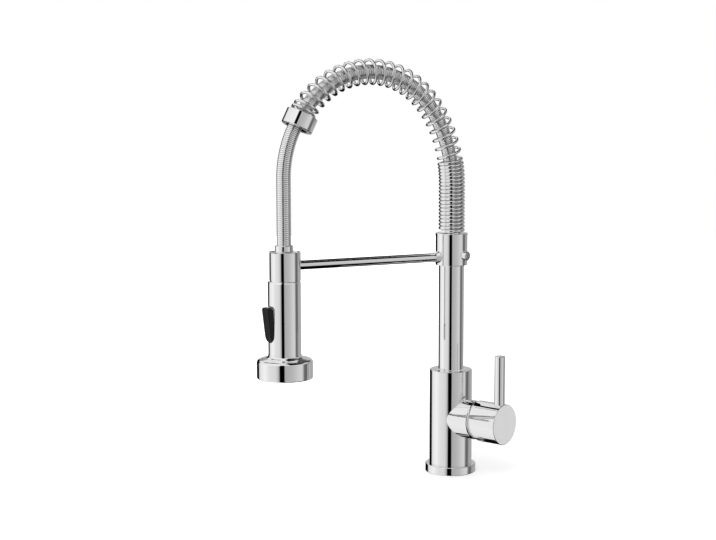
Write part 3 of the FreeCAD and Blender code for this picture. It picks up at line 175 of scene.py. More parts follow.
def finish(name, colours, gloss, metallic, patch, grain, depth, shine=0.5):
    """A surface with wiped patches in its colour and gloss, and a fine grain in its relief.

    Patches and grain are given as noise scales per metre, and the grain's depth in metres.
    """
    material = bpy.data.materials.new(name)
    tree, shader, place = node_tree(material)
    shader.inputs["Metallic"].default_value = metallic
    shader.inputs["Specular IOR Level"].default_value = shine
    patches = noise(tree, place, patch)
    dark, light = colours
    colour = mixed(tree, "RGBA", patches, (*dark, 1), (*light, 1))
    tree.links.new(colour, shader.inputs["Base Color"])
    tree.links.new(ranged(tree, patches, NOISE_SPREAD, gloss), shader.inputs["Roughness"])
    bumped(tree, shader, noise(tree, place, grain, GRAIN_DETAIL), depth)
    return material


def greys(dark, light):
    return (dark, dark, dark), (light, light, light)


BRASS = ((0.62, 0.45, 0.2), (0.74, 0.57, 0.3))
CREAM = ((0.86, 0.85, 0.82), (0.93, 0.92, 0.89))
WHITE = ((0.8, 0.8, 0.78), (0.88, 0.88, 0.86))
FINISHES = {
    "chrome": finish("polished_chrome", greys(0.90, 0.94), (0.02, 0.05), 1, 35, 900, 2e-7),
    # A darker copy of the chrome for the spring, which paints shade onto its wires
    "shaded_spring_chrome": finish("shaded_spring_chrome", greys(0.86, 0.92), (0.02, 0.05), 1, 60, 900, 4e-7),
    "cap_face": finish("satin_face", greys(0.84, 0.88), (0.42, 0.5), 0.25, 60, 2500, 1e-6),
    "hose_steel": finish("hose_steel", greys(0.92, 0.97), (0.07, 0.13), 1, 90, 1500, 1e-6),
    # Darker steel for the hose's grooves: painted shade that falls between the ribs
    "hose_groove_shade": finish("hose_groove_shade", greys(0.45, 0.55), (0.25, 0.35), 1, 90, 1500, 1e-6),
    "steel": finish("turned_steel", greys(0.5, 0.62), (0.2, 0.32), 1, 120, 1800, 3e-6),
    "brass": finish("turned_brass", BRASS, (0.2, 0.34), 1, 120, 1800, 3e-6),
    "ceramic": finish("ground_ceramic", CREAM, (0.18, 0.3), 0, 120, 2500, 2e-6),
    "white_plastic": finish("white_moulding", WHITE, (0.4, 0.55), 0, 90, 2500, 6e-6),
    "grey_plastic": finish("grey_moulding", greys(0.17, 0.23), (0.38, 0.52), 0, 90, 2500, 6e-6),
    "black_plastic": finish("black_moulding", greys(0.004, 0.009), (0.34, 0.46), 0, 160, 3500, 8e-6, 0.25),
    "seal_rubber": finish("seal_rubber", greys(0.022, 0.035), (0.6, 0.75), 0, 120, 2500, 8e-6),
}


# Shaping
CREASE = 32
FLAT_LIMIT = 1e-4
EVEN_WEIGHT = 80


def stand(origin, way=UP):
    """Matrix that stands a turned shape on a point, along a direction."""
    turn = UP.rotation_difference(Vector(way)).to_matrix().to_4x4()
    return Matrix.Translation(Vector(origin) * MM) @ turn


def everything(bm):
    return list(bm.verts) + list(bm.edges) + list(bm.faces)


def rounded(bm, corners, radius, steps, affect):
    """Rounds corner points of a flat shape, or edges of a solid one."""
    bmesh.ops.bevel(
        bm, geom=corners, offset=radius * MM, offset_type="OFFSET", segments=steps,
        profile=0.5, affect=affect, material=-1,
    )


def rounded_face(points, roundings, steps):
    """A flat face, whose corners stay sharp where their rounding is 0."""
    bm = bmesh.new()
    verts = [bm.verts.new((x * MM, y * MM, z * MM)) for x, y, z in points]
    bm.faces.new(verts)
    for vert, rounding in zip(verts, roundings):
        if rounding:
            rounded(bm, [vert], rounding, steps, "VERTICES")
    return bm


def outline_wire(corners):
    """A closed wire in the XZ plane, from corners that give radius, height and, if any, rounding."""
    points = [(corner[0], 0, corner[1]) for corner in corners]
    roundings = [corner[2] if len(corner) > 2 else 0 for corner in corners]
    bm = rounded_face(points, roundings, EDGE_STEPS)
    bmesh.ops.delete(bm, geom=list(bm.faces), context="FACES_ONLY")
    return bm


def spun(bm, steps):
    """Turns a wire once round the upright axis."""
    bmesh.ops.spin(
        bm, geom=list(bm.verts) + list(bm.edges), cent=(0, 0, 0), axis=UP,
        angle=math.tau, steps=steps, use_merge=True,
    )


def turned(corners, place=Matrix(), steps=ROUND_STEPS):
    """A closed shape turned from its outline."""
    bm = outline_wire(corners)
    on_axis = [edge for edge in bm.edges if all(vert.co.x < TINY for vert in edge.verts)]
    bmesh.ops.delete(bm, geom=on_axis, context="EDGES")
    spun(bm, steps)
    bmesh.ops.remove_doubles(bm, verts=list(bm.verts), dist=TINY)
    bmesh.ops.recalc_face_normals(bm, faces=list(bm.faces))
    bm.transform(place)
    return bm


def mesh_object(name, bm):
    mesh = bpy.data.meshes.new(name)
    bm.to_mesh(mesh)
    bm.free()
    return linked(name, mesh)


def baked(item):
    """The mesh of an object with its modifiers or bevel applied."""
    bpy.context.view_layer.update()
    return bpy.data.meshes.new_from_object(item.evaluated_get(bpy.context.evaluated_depsgraph_get()))


def combined(base, tool, operation):
    """Joins one shape to another, or cuts one from another."""
    item = mesh_object("work_base", base)
    other = mesh_object("work_tool", tool)
    change = item.modifiers.new("change", "BOOLEAN")
    change.object = other
    change.operation = operation
    change.solver = "EXACT"
    bm = bmesh.new()
    bm.from_mesh(baked(item))
    bpy.data.objects.remove(item)
    bpy.data.objects.remove(other)
    bmesh.ops.dissolve_limit(bm, angle_limit=FLAT_LIMIT, verts=list(bm.verts), edges=list(bm.edges))
    return bm


def smooth_line(name, points, order, resolution):
    """A smooth curve, led by its control points."""
    data = bpy.data.curves.new(name, "CURVE")
    data.dimensions = "3D"
    spline = data.splines.new("NURBS")
    spline.points.add(len(points) - 1)
    for control, point in zip(spline.points, points):
        control.co = (*point, 1)
    spline.order_u = order
    spline.use_endpoint_u = True
    spline.resolution_u = resolution
    return linked(name, data)


def dressed(item, body, slot, nodes, crease=CREASE, material=None):
    """Gives a piece its finish and the body that it belongs to, and hides the nodes that it stands for.

    A piece that blends between two bodies has no body of its own.
    """
    item.data.materials.append(FINISHES[material or slot])
    item.data.shade_smooth()
    item.data.set_sharp_from_angle(angle=math.radians(crease))
    even = item.modifiers.new("even_shading", "WEIGHTED_NORMAL")
    even.keep_sharp = True
    even.weight = EVEN_WEIGHT
    if body:
        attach(item, body)
    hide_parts(*nodes)


def piece(name, bm, body, slot, nodes, crease=CREASE):
    item = mesh_object(name, bm)
    dressed(item, body, slot, nodes, crease)
    return item


# Hose: x and height of the points that lead its line over the arch
HOSE_ROUTE = (
    (0, 228.4), (0, 246), (0, 265.2), (0, 306.8), (-13.4, 346.2),
    (-35.6, 375.1), (-62.6, 390.9), (-93.5, 395.3), (-123.9, 387.7),
    (-149.5, 368.8), (-168.5, 342.5), (-178.5, 311.6),
    (-178.5, 279.1), (-178.5, 254), (-178.5, 229.3),
)
HOSE_ORDER = 3
HOSE_RESOLUTION = 24
HOSE_DIAMETER = 13.6
HOSE_GROOVE = 0.32
HOSE_RIBS = 244
HOSE_STEPS = 24
RIB_MERGE = 1e-6
# Shares of a rib's length at which its crest starts and its fall into the groove starts; the fall is
# painted darker, as the shade in the groove
RIB_CREST = 0.2
RIB_SHADED_FALL = 0.8


def route_curve():
    points = [(x * MM, 0, level * MM) for x, level in HOSE_ROUTE]
    return smooth_line("hose_route", points, HOSE_ORDER, HOSE_RESOLUTION)


class Line:
    """The hose's smooth line, measured along its length."""

    def __init__(self, points):
        self.points = points
        self.runs = [0.0]
        for here, there in zip(points, points[1:]):
            self.runs.append(self.runs[-1] + (there - here).length)
        self.length = self.runs[-1]

    def at(self, run):
        """The point after a run along the line, and the line's direction there."""
        k = max(i for i, start in enumerate(self.runs[:-1]) if start <= max(run, 0))
        here = self.points[k]
        step = self.points[k + 1] - here
        return here + step * ((run - self.runs[k]) / step.length), step.normalized()


def hose_rib(pitch):
    """One rib, whose fall into the groove is painted darker as shade."""
    crest = HOSE_DIAMETER / 2
    root = crest - HOSE_GROOVE
    section = ((root, 0), (crest, RIB_CREST), (crest, RIB_SHADED_FALL), (root, 1))
    bm = bmesh.new()
    verts = [bm.verts.new((radius * MM, 0, share * pitch * MM)) for radius, share in section]
    for here, there in zip(verts, verts[1:]):
        bm.edges.new((here, there))
    spun(bm, HOSE_STEPS)
    bmesh.ops.recalc_face_normals(bm, faces=list(bm.faces))
    # The faces that fall into the groove get the darker finish, a painted shade
    for face in bm.faces:
        face.material_index = int(face.calc_center_median().z > RIB_SHADED_FALL * pitch * MM)
    rib = mesh_object("hose_rib", bm)
    rib.data.materials.append(FINISHES["hose_steel"])
    rib.data.materials.append(FINISHES["hose_groove_shade"])
    return rib


def make_hose(route, line):
    """The rib is repeated, and the row of ribs is bent along the hose's line."""
    pitch = line.length / MM / HOSE_RIBS
    rib = hose_rib(pitch)
    ribs = rib.modifiers.new("ribs", "ARRAY")
    ribs.count = HOSE_RIBS
    ribs.use_relative_offset = False
    ribs.use_constant_offset = True
    ribs.constant_offset_displace = (0, 0, pitch * MM)
    ribs.use_merge_vertices = True
    ribs.merge_threshold = RIB_MERGE
    bend = rib.modifiers.new("bend", "CURVE")
    bend.object = route
    bend.deform_axis = "POS_Z"
    bm = bmesh.new()
    bm.from_mesh(baked(rib))
    bpy.data.objects.remove(rib)
    bmesh.ops.holes_fill(bm, edges=list(bm.edges), sides=0)
    bmesh.ops.recalc_face_normals(bm, faces=list(bm.faces))
    item = piece("spray_hose_ribbed", bm, None, "hose_steel", ["spray_hose"], crease=75)
    # The second slot holds the darker finish that paints the shade in the grooves
    item.data.materials.append(FINISHES["hose_groove_shade"])
    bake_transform(item)


# Spring: tight turns above the collar, open ones over the arch, and close ones in the cup
SPRING_START = 11.2
SPRING_LENGTH = 285.1
SPRING_MIDDLE_R = 11.35
SPRING_WIRE = 2.9
DENSE_FULLNESS = 1.21
DENSE_TURNS = 19
DENSE_PITCH = 3.55
OPEN_TURNS = 22
END_TURNS = 2
END_PITCH = 3.55
SPRING_TURNS = DENSE_TURNS + OPEN_TURNS + END_TURNS
POINTS_PER_TURN = 20
SPRING_ORDER = 4
SPRING_RESOLUTION = 2
WIRE_ROUNDNESS = 3


def spring_run(turn, open_pitch):
    """Length of hose that the spring's turns cover, from the collar."""
    end = SPRING_TURNS - END_TURNS
    marks = (
        (0, DENSE_PITCH), (DENSE_TURNS, DENSE_PITCH), (DENSE_TURNS + 1, open_pitch),
        (end, open_pitch), (end + 1, END_PITCH), (SPRING_TURNS, END_PITCH),
    )
    run = 0.0
    for (low, low_pitch), (high, high_pitch) in zip(marks, marks[1:]):
        share = min(max(turn - low, 0), high - low)
        run += share * low_pitch + (high_pitch - low_pitch) * share * share / (high - low) / 2
    return run


def make_spring(line):
    """One wire, wound round the hose's line, and fuller in the tight turns."""
    # The run grows evenly with the open pitch, so two runs give the pitch that fills the length
    closed = spring_run(SPRING_TURNS, 0)
    open_pitch = (SPRING_LENGTH - closed) / (spring_run(SPRING_TURNS, 1) - closed)
    turns = [k / POINTS_PER_TURN for k in range(SPRING_TURNS * POINTS_PER_TURN + 1)]
    across = Vector((0, -1, 0))
    points = []
    for turn in turns:
        middle, way = line.at((SPRING_START + spring_run(turn, open_pitch)) * MM)
        inward = across.cross(way)
        angle = math.tau * turn
        reach = inward * math.cos(angle) + across * math.sin(angle)
        points.append(middle + reach * SPRING_MIDDLE_R * MM)
    wire = smooth_line("tower_spring_wire", points, SPRING_ORDER, SPRING_RESOLUTION)
    for control, turn in zip(wire.data.splines[0].points, turns):
        control.radius = DENSE_FULLNESS if turn < DENSE_TURNS else 1
    wire.data.bevel_depth = SPRING_WIRE / 2 * MM
    wire.data.bevel_resolution = WIRE_ROUNDNESS
    wire.data.use_fill_caps = True
    item = linked("tower_spring_wound", baked(wire))
    bpy.data.objects.remove(wire)
    # The spring takes the darker chrome that paints shade on its wires
    dressed(item, "spout", "chrome", ["tower_spring"], crease=60, material="shaded_spring_chrome")


# Cup on the spring's free end, with heights from its middle
CUP_LEAN = math.radians(26.5)
CUP_ASIDE = 1
CUP_RADIUS = 15.2
CUP_RIM_BORE = 14.4
CUP_BORE = 10.5
CUP_LOW = -7.6
CUP_FLOOR = 3.4
CUP_HIGH = 6.6


def make_cup():
    low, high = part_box("spring_cup")
    middle = (Vector(low) + Vector(high)) / 2 / MM
    way = Vector((math.sin(CUP_LEAN), 0, math.cos(CUP_LEAN)))
    aside = Vector((math.cos(CUP_LEAN), 0, -math.sin(CUP_LEAN)))
    bm = turned([
        (CUP_BORE, CUP_LOW),
        (CUP_RADIUS, CUP_LOW, SOFT_EDGE),
        (CUP_RADIUS, CUP_HIGH, SMALL_EDGE),
        (CUP_RIM_BORE, CUP_HIGH, FINE_EDGE),
        (CUP_RIM_BORE, CUP_FLOOR),
        (CUP_BORE, CUP_FLOOR),
    ], stand(middle + aside * CUP_ASIDE, way))
    piece("spring_cup_turned", bm, "spout", "chrome", ["spring_cup"])


# Base and body
BASE_RADIUS = 25
BASE_TOP = 8
SHANK_RADIUS = 17
SHANK_TOP = 6.5
BODY_RADIUS = 21
BODY_BORE = 14
BODY_TOP = 102.7
# Along the handle's axis
HOUSING_START = 2
HOUSING_FLOOR = 30
HOUSING_END = 33
HOUSING_RADIUS = 19
HOUSING_BORE = 16.1
HOUSING_ROUND = 1.6


def make_base_ring():
    bm = turned([
        (SHANK_RADIUS + PLAY, 0),
        (BASE_RADIUS, 0, EDGE),
        (BASE_RADIUS, BASE_TOP, EDGE),
        (BODY_RADIUS + PLAY, BASE_TOP),
        (BODY_RADIUS + PLAY, SHANK_TOP),
        (SHANK_RADIUS + PLAY, SHANK_TOP),
    ])
    piece("base_ring_turned", bm, "tap_body", "chrome", ["base_ring"])


def make_mixer_body():
    upright = turned([
        (BODY_BORE, 0),
        (SHANK_RADIUS, 0),
        (SHANK_RADIUS, SHANK_TOP),
        (BODY_RADIUS, SHANK_TOP),
        (BODY_RADIUS, BODY_TOP, EDGE),
        (BODY_BORE, BODY_TOP, FINE_EDGE),
    ])
    housing = turned([
        (0, HOUSING_START),
        (HOUSING_RADIUS, HOUSING_START),
        (HOUSING_RADIUS, HOUSING_END, HOUSING_ROUND),
        (HOUSING_BORE, HOUSING_END, FINE_EDGE),
        (HOUSING_BORE, HOUSING_FLOOR),
        (0, HOUSING_FLOOR),
    ], stand((0, 0, HANDLE_LEVEL), HANDLE_WAY))
    bm = combined(upright, housing, "UNION")
    piece("mixer_body_cast", bm, "tap_body", "chrome", ["mixer_body"], crease=22)


# Dome between the housing and the handle, round the handle's pivot
HANDLE_PIVOT = 35
DOME_RADIUS = 17.2
DOME_BACK = HOUSING_END - HANDLE_PIVOT
DOME_FRONT = 13.9
DOME_WALL = 1.2
DOME_STEPS = 48


def make_dome():
    """The dome is a ball with its back and its front cut off, and a wall."""
    bm = bmesh.new()
    bmesh.ops.create_uvsphere(bm, u_segments=ROUND_STEPS, v_segments=DOME_STEPS, radius=DOME_RADIUS * MM)
    for level, side in ((DOME_FRONT, 1), (DOME_BACK, -1)):
        bmesh.ops.bisect_plane(
            bm, geom=everything(bm), dist=TINY, plane_co=(0, 0, level * MM),
            plane_no=(0, 0, side), clear_outer=True,
        )
    bmesh.ops.recalc_face_normals(bm, faces=list(bm.faces))
    bm.transform(stand(HANDLE_WAY * HANDLE_PIVOT + UP * HANDLE_LEVEL, HANDLE_WAY))
    item = mesh_object("dome_cover_spun", bm)
    wall = item.modifiers.new("wall", "SOLIDIFY")
    wall.thickness = DOME_WALL * MM
    wall.offset = -1
    dressed(item, "tap_body", "chrome", ["dome_cover"], material="cap_face")


# Handle: the cap along its own axis, and the lever above that axis
CAP_START = 30
CAP_FLOOR = 53
CAP_END = 65
CAP_RADIUS = 19.8
CAP_BORE = 17.6
# The cap's back is cut on a slant: where the cut meets the axis, and its fall across the cap
CAP_CUT = 37.1
CAP_SLANT = 5.8
FACING_OUT = 0.999
FACE_DEPTH = 1
LEVER_PLACE = 58.4
LEVER_RADIUS = 5.2
LEVER_LOW = 18.4
LEVER_HIGH = 66.8


def make_cap():
    bm = turned([
        (CAP_BORE, CAP_START),
        (CAP_BORE, CAP_FLOOR),
        (0, CAP_FLOOR),
        (0, CAP_END),
        (CAP_RADIUS, CAP_END, EDGE),
        (CAP_RADIUS, CAP_START),
    ])
    cut = bmesh.ops.bisect_plane(
        bm, geom=everything(bm), dist=TINY, plane_co=(0, 0, CAP_CUT * MM),
        plane_no=(-CAP_SLANT, 0, -2 * CAP_RADIUS), clear_outer=True,
    )
    loops = [edge for edge in cut["geom_cut"] if isinstance(edge, bmesh.types.BMEdge)]
    bmesh.ops.bridge_loops(bm, edges=loops)
    bmesh.ops.recalc_face_normals(bm, faces=list(bm.faces))
    place = Matrix((UP, HANDLE_WAY.cross(UP), HANDLE_WAY)).transposed().to_4x4()
    place.translation = (0, 0, HANDLE_LEVEL * MM)
    bm.transform(place)
    item = piece("handle_cap_turned", bm, "handle", "chrome", ["handle_cap"])
    item.data.materials.append(FINISHES["cap_face"])
    face_from = (CAP_END - FACE_DEPTH) * MM
    for face in item.data.polygons:
        if face.normal.dot(HANDLE_WAY) > FACING_OUT and face.center.dot(HANDLE_WAY) > face_from:
            face.material_index = 1


def make_lever():
    bm = turned([
        (0, LEVER_LOW),
        (LEVER_RADIUS, LEVER_LOW),
        (LEVER_RADIUS, LEVER_HIGH, SOFT_EDGE),
        (0, LEVER_HIGH),
    ], stand(HANDLE_WAY * LEVER_PLACE + UP * HANDLE_LEVEL), SMALL_STEPS)
    piece("lever_pin_turned", bm, "handle", "chrome", ["lever_pin"])


# Riser, its collar and the spring's seat in the collar
TUBE_RADIUS = 12.5
TUBE_BORE = 11
TUBE_LOW = 90.9
TUBE_HIGH = 222.4
COLLAR_RADIUS = 15.75
COLLAR_BORE = 10.75
COLLAR_LOW = 206.4
COLLAR_HIGH = 238
SEAT_FLANGE = 10.6
SEAT_RADIUS = 9.4
SEAT_BORE = 8.7
SEAT_LOW = 225.4
SEAT_HIGH = 264


def make_riser():
    bm = turned([
        (TUBE_BORE, TUBE_LOW),
        (TUBE_RADIUS, TUBE_LOW),
        (TUBE_RADIUS, TUBE_HIGH),
        (TUBE_BORE, TUBE_HIGH),
    ])
    piece("riser_tube_drawn", bm, "spout", "chrome", ["riser_tube"])


def make_collar():
    bm = turned([
        (TUBE_RADIUS + PLAY, COLLAR_LOW),
        (COLLAR_RADIUS, COLLAR_LOW, EDGE),
        (COLLAR_RADIUS, COLLAR_HIGH, SOFT_EDGE),
        (COLLAR_BORE, COLLAR_HIGH),
        (COLLAR_BORE, SEAT_LOW),
        (TUBE_RADIUS + PLAY, SEAT_LOW),
    ])
    piece("arm_collar_turned", bm, "spout", "chrome", ["arm_collar"])


def make_seat():
    """The seat inside the spring's first turns, slim enough for the fuller wire."""
    bm = turned([
        (SEAT_BORE, SEAT_LOW),
        (SEAT_FLANGE, SEAT_LOW),
        (SEAT_FLANGE, COLLAR_HIGH),
        (SEAT_RADIUS, COLLAR_HIGH),
        (SEAT_RADIUS, SEAT_HIGH, FINE_EDGE),
        (SEAT_BORE, SEAT_HIGH),
    ])
    piece("spring_seat_turned", bm, "spout", "chrome", ["spring_seat"])


# Screw and arm on the collar, each along its own axis from the riser's
SCREW_LEVEL = 216.3
SCREW_RADIUS = 4.5
SCREW_START = 14
SCREW_END = 19.75
SOCKET_RADIUS = 1.9
SOCKET_FLOOR = 17.6
ARM_LEVEL = 214.5
ARM_RADIUS = 4.4
ARM_START = 13
ARM_END = 163.8
BOSS_RADIUS = 6.4
BOSS_END = 14.95
TAPER_END = 19.75
TAPER_ROUND = 1.5


def make_screw():
    bm = turned([
        (0, SCREW_START),
        (SCREW_RADIUS, SCREW_START),
        (SCREW_RADIUS, SCREW_END, SOFT_EDGE),
        (SOCKET_RADIUS, SCREW_END, HAIR_EDGE),
        (SOCKET_RADIUS, SOCKET_FLOOR),
        (0, SOCKET_FLOOR),
    ], stand((0, 0, SCREW_LEVEL), HANDLE_WAY), SMALL_STEPS)
    piece("clamp_screw_turned", bm, "spout", "chrome", ["clamp_screw"])


def make_arm():
    bm = turned([
        (0, ARM_START),
        (BOSS_RADIUS, ARM_START),
        (BOSS_RADIUS, BOSS_END, SMALL_EDGE),
        (ARM_RADIUS, TAPER_END, TAPER_ROUND),
        (ARM_RADIUS, ARM_END),
        (0, ARM_END),
    ], stand((0, 0, ARM_LEVEL), (-1, 0, 0)), SMALL_STEPS)
    piece("support_arm_drawn", bm, "spout", "chrome", ["support_arm"])


# Ring that holds the spray
CLIP_MOUTH = math.radians(84)
CLIP_RADIUS = 15.5
CLIP_BORE = 13.9
CLIP_LOW = 200.7
CLIP_HIGH = 227.8
CLIP_STEPS = 100
CLIP_EDGE = 0.35
CLIP_EDGE_STEPS = 3
SHARP_CORNER = math.radians(60)


def make_clip():
    """The holder is a ring with an open mouth away from the riser."""
    bm = outline_wire([
        (CLIP_BORE, CLIP_LOW),
        (CLIP_RADIUS, CLIP_LOW),
        (CLIP_RADIUS, CLIP_HIGH),
        (CLIP_BORE, CLIP_HIGH),
    ])
    bmesh.ops.rotate(
        bm, cent=(0, 0, 0), verts=list(bm.verts),
        matrix=Matrix.Rotation(CLIP_MOUTH / 2 - math.pi, 3, "Z"),
    )
    bmesh.ops.contextual_create(bm, geom=list(bm.edges))
    bmesh.ops.spin(
        bm, geom=everything(bm), cent=(0, 0, 0), axis=UP,
        angle=math.tau - CLIP_MOUTH, steps=CLIP_STEPS, use_merge=False,
    )
    bmesh.ops.remove_doubles(bm, verts=list(bm.verts), dist=TINY)
    bmesh.ops.recalc_face_normals(bm, faces=list(bm.faces))
    corners = [edge for edge in bm.edges if edge.calc_face_angle() > SHARP_CORNER]
    rounded(bm, corners, CLIP_EDGE, CLIP_EDGE_STEPS, "EDGES")
    bm.transform(SPRAY_PLACE)
    piece("holder_clip_rolled", bm, "spout", "chrome", ["holder_clip"])


# Trigger, and the recess for it in the barrel, with depths as x from the spray's axis
TRIGGER_LOW = 143.5
TRIGGER_HIGH = 176.4
TRIGGER_TOP_HALF = 7.7
TRIGGER_TIP_HALF = 7
TRIGGER_TOP_ROUND = 3.2
TRIGGER_TIP_ROUND = 6.4
TRIGGER_CORNER_STEPS = 8
TRIGGER_FRONT = -17.1
TRIGGER_BACK = -13
TRIGGER_LEAN = 3.6
TRIGGER_ROUND = 1.9
TRIGGER_ROUND_STEPS = 5
# Radius that the trigger's back leaves free round the spray's axis, at its low and its high end
HOLLOW_LOW_RADIUS = 15.6
HOLLOW_HIGH_RADIUS = 16.4
HOLLOW_PAST = 2
FRONT_MARGIN = 0.1
RECESS_FRONT = -30
RECESS_BACK = -9.5
RECESS_PLAY = 0.3
RECESS_LIFT = 1.2


def trigger_block(front, back, grow=0, lift=0):
    """A block with the trigger's outline, from one depth to another."""
    top = TRIGGER_TOP_HALF + grow
    tip = TRIGGER_TIP_HALF + grow
    low = TRIGGER_LOW - grow
    high = TRIGGER_HIGH + grow + lift
    points = ((back, -top, high), (back, top, high), (back, tip, low), (back, -tip, low))
    roundings = (TRIGGER_TOP_ROUND, TRIGGER_TOP_ROUND, TRIGGER_TIP_ROUND, TRIGGER_TIP_ROUND)
    bm = rounded_face(points, roundings, TRIGGER_CORNER_STEPS)
    grown = bmesh.ops.extrude_face_region(bm, geom=list(bm.faces), use_keep_orig=True)
    moved = [item for item in grown["geom"] if isinstance(item, bmesh.types.BMVert)]
    bmesh.ops.translate(bm, verts=moved, vec=((front - back) * MM, 0, 0))
    bmesh.ops.recalc_face_normals(bm, faces=list(bm.faces))
    bm.transform(SPRAY_PLACE)
    return bm


def make_trigger():
    """The trigger's front leans out towards its top and is rounded, and its back is hollow."""
    bm = trigger_block(TRIGGER_FRONT, TRIGGER_BACK)
    front_limit = (SPRAY_X + TRIGGER_FRONT + FRONT_MARGIN) * MM
    front_verts = [vert for vert in bm.verts if vert.co.x < front_limit]
    lean = TRIGGER_LEAN / (TRIGGER_HIGH - TRIGGER_LOW)
    slant = Matrix.Identity(4)
    slant[0][2] = -lean
    slant[0][3] = lean * TRIGGER_LOW * MM
    bmesh.ops.transform(bm, matrix=slant, verts=front_verts)
    edges = [edge for edge in bm.edges if all(vert in front_verts for vert in edge.verts)]
    rounded(bm, edges, TRIGGER_ROUND, TRIGGER_ROUND_STEPS, "EDGES")
    low = TRIGGER_LOW - HOLLOW_PAST
    high = TRIGGER_HIGH + HOLLOW_PAST
    hollow = turned([
        (0, low),
        (HOLLOW_LOW_RADIUS, low),
        (HOLLOW_HIGH_RADIUS, high),
        (0, high),
    ], SPRAY_PLACE)
    bm = combined(bm, hollow, "DIFFERENCE")
    piece("spray_trigger_moulded", bm, "trigger", "black_plastic", ["spray_trigger"], crease=50)


# Hand spray: ferrule, barrel with its neck, and bell
FERRULE_RADIUS = 8.6
FERRULE_SOCKET = 7.1
FERRULE_BORE = 5
FERRULE_LOW = 227.3
FERRULE_FLOOR = 229
FERRULE_HIGH = 233.7
SPIGOT_RADIUS = 6
SPIGOT_LOW = 222
BARREL_RADIUS = 15.5
BARREL_BORE = 12.5
BARREL_LOW = 117
BORE_HIGH = 190
SHOULDER_LOW = 198.6
SHOULDER_HIGH = 200.4
SHOULDER_RADIUS = 14.9
GROOVE_RADIUS = 13.1
GROOVE_HIGH = 201.6
NECK_RADIUS = 13.6
NECK_HIGH = 227
BELL_RADIUS = 26.5
BELL_MOUTH = 24
BELL_SLEEVE = 15.75
BELL_WATERWAY = 11
BELL_LOW = 109
BELL_CEILING = 114.6
BELL_SIDE_HIGH = 126.6
BELL_SLEEVE_LOW = 129
BELL_HIGH = 131.4
BELL_LIP_ROUND = 1
BELL_SIDE_ROUND = 2.6
BELL_SLEEVE_ROUND = 2


def make_ferrule():
    bm = turned([
        (FERRULE_BORE, SPIGOT_LOW),
        (SPIGOT_RADIUS, SPIGOT_LOW),
        (SPIGOT_RADIUS, FERRULE_LOW),
        (FERRULE_RADIUS, FERRULE_LOW, SMALL_EDGE),
        (FERRULE_RADIUS, FERRULE_HIGH, SOFT_EDGE),
        (FERRULE_SOCKET, FERRULE_HIGH),
        (FERRULE_SOCKET, FERRULE_FLOOR),
        (FERRULE_BORE, FERRULE_FLOOR),
    ], SPRAY_PLACE, SMALL_STEPS)
    piece("hose_ferrule_turned", bm, "hose_end", "chrome", ["hose_ferrule"])


def make_barrel():
    barrel = turned([
        (BARREL_BORE, BARREL_LOW),
        (BARREL_RADIUS, BARREL_LOW),
        (BARREL_RADIUS, SHOULDER_LOW, FINE_EDGE),
        (SHOULDER_RADIUS, SHOULDER_HIGH, HAIR_EDGE),
        (GROOVE_RADIUS, SHOULDER_HIGH),
        (GROOVE_RADIUS, GROOVE_HIGH),
        (NECK_RADIUS, GROOVE_HIGH),
        (NECK_RADIUS, NECK_HIGH, EDGE),
        (SPIGOT_RADIUS + PLAY, NECK_HIGH),
        (SPIGOT_RADIUS + PLAY, SPIGOT_LOW),
        (BARREL_BORE, BORE_HIGH),
    ], SPRAY_PLACE)
    recess = trigger_block(RECESS_FRONT, RECESS_BACK, RECESS_PLAY, RECESS_LIFT)
    bm = combined(barrel, recess, "DIFFERENCE")
    piece("spray_body_turned", bm, "spray_head", "chrome", ["spray_body"], crease=25)


def make_bell():
    bm = turned([
        (BELL_MOUTH, BELL_LOW),
        (BELL_RADIUS, BELL_LOW, BELL_LIP_ROUND),
        (BELL_RADIUS, BELL_SIDE_HIGH, BELL_SIDE_ROUND),
        (BELL_SLEEVE, BELL_SLEEVE_LOW, BELL_SLEEVE_ROUND),
        (BELL_SLEEVE, BELL_HIGH),
        (BARREL_RADIUS + PLAY, BELL_HIGH),
        (BARREL_RADIUS + PLAY, BARREL_LOW),
        (BELL_WATERWAY, BARREL_LOW),
        (BELL_WATERWAY, BELL_CEILING),
        (BELL_MOUTH, BELL_CEILING),
    ], SPRAY_PLACE)
    piece("spray_bell_turned", bm, "spray_head", "chrome", ["spray_bell"])


def finish_solids():
    """Gives the solids of the frame the finish of their material slot."""
    for entry in frame["record"]["subparts"]:
        node = frame["nodes"][entry["node"]]
        node.data.materials.clear()
        node.data.materials.append(FINISHES[entry["material_slot"]])


# Floor, in metres
FLOOR_RADIUS = 2.5
FLOOR_STEPS = 96
FLOOR_FADE = (0.15, 0.6)
FLOOR_LIFT = (0.3, 1.0)
FLOOR_GREYS = (0.88, 0.9)
FLOOR_PATCH = 6
FLOOR_ROUGHNESS = 0.9


def make_floor():
    """A pale floor that shows the tap's shadow, and goes to white away from it."""
    bm = bmesh.new()
    bmesh.ops.create_circle(bm, cap_ends=True, segments=FLOOR_STEPS, radius=FLOOR_RADIUS)
    floor = mesh_object("floor", bm)
    floor.visible_glossy = False
    material = bpy.data.materials.new("pale_floor")
    tree, shader, place = node_tree(material)
    grey = ranged(tree, noise(tree, place, FLOOR_PATCH), NOISE_SPREAD, FLOOR_GREYS)
    tree.links.new(grey, shader.inputs["Base Color"])
    shader.inputs["Roughness"].default_value = FLOOR_ROUGHNESS
    shader.inputs["Emission Color"].default_value = (1, 1, 1, 1)
    distance = tree.nodes.new("ShaderNodeVectorMath")
    distance.operation = "LENGTH"
    tree.links.new(place, distance.inputs[0])
    lift = ranged(tree, distance.outputs["Value"], FLOOR_FADE, FLOOR_LIFT)
    rays = tree.nodes.new("ShaderNodeLightPath")
    seen = arithmetic(tree, "MULTIPLY", rays.outputs["Is Camera Ray"], lift)
    tree.links.new(seen, shader.inputs["Emission Strength"])
    floor.data.materials.append(material)


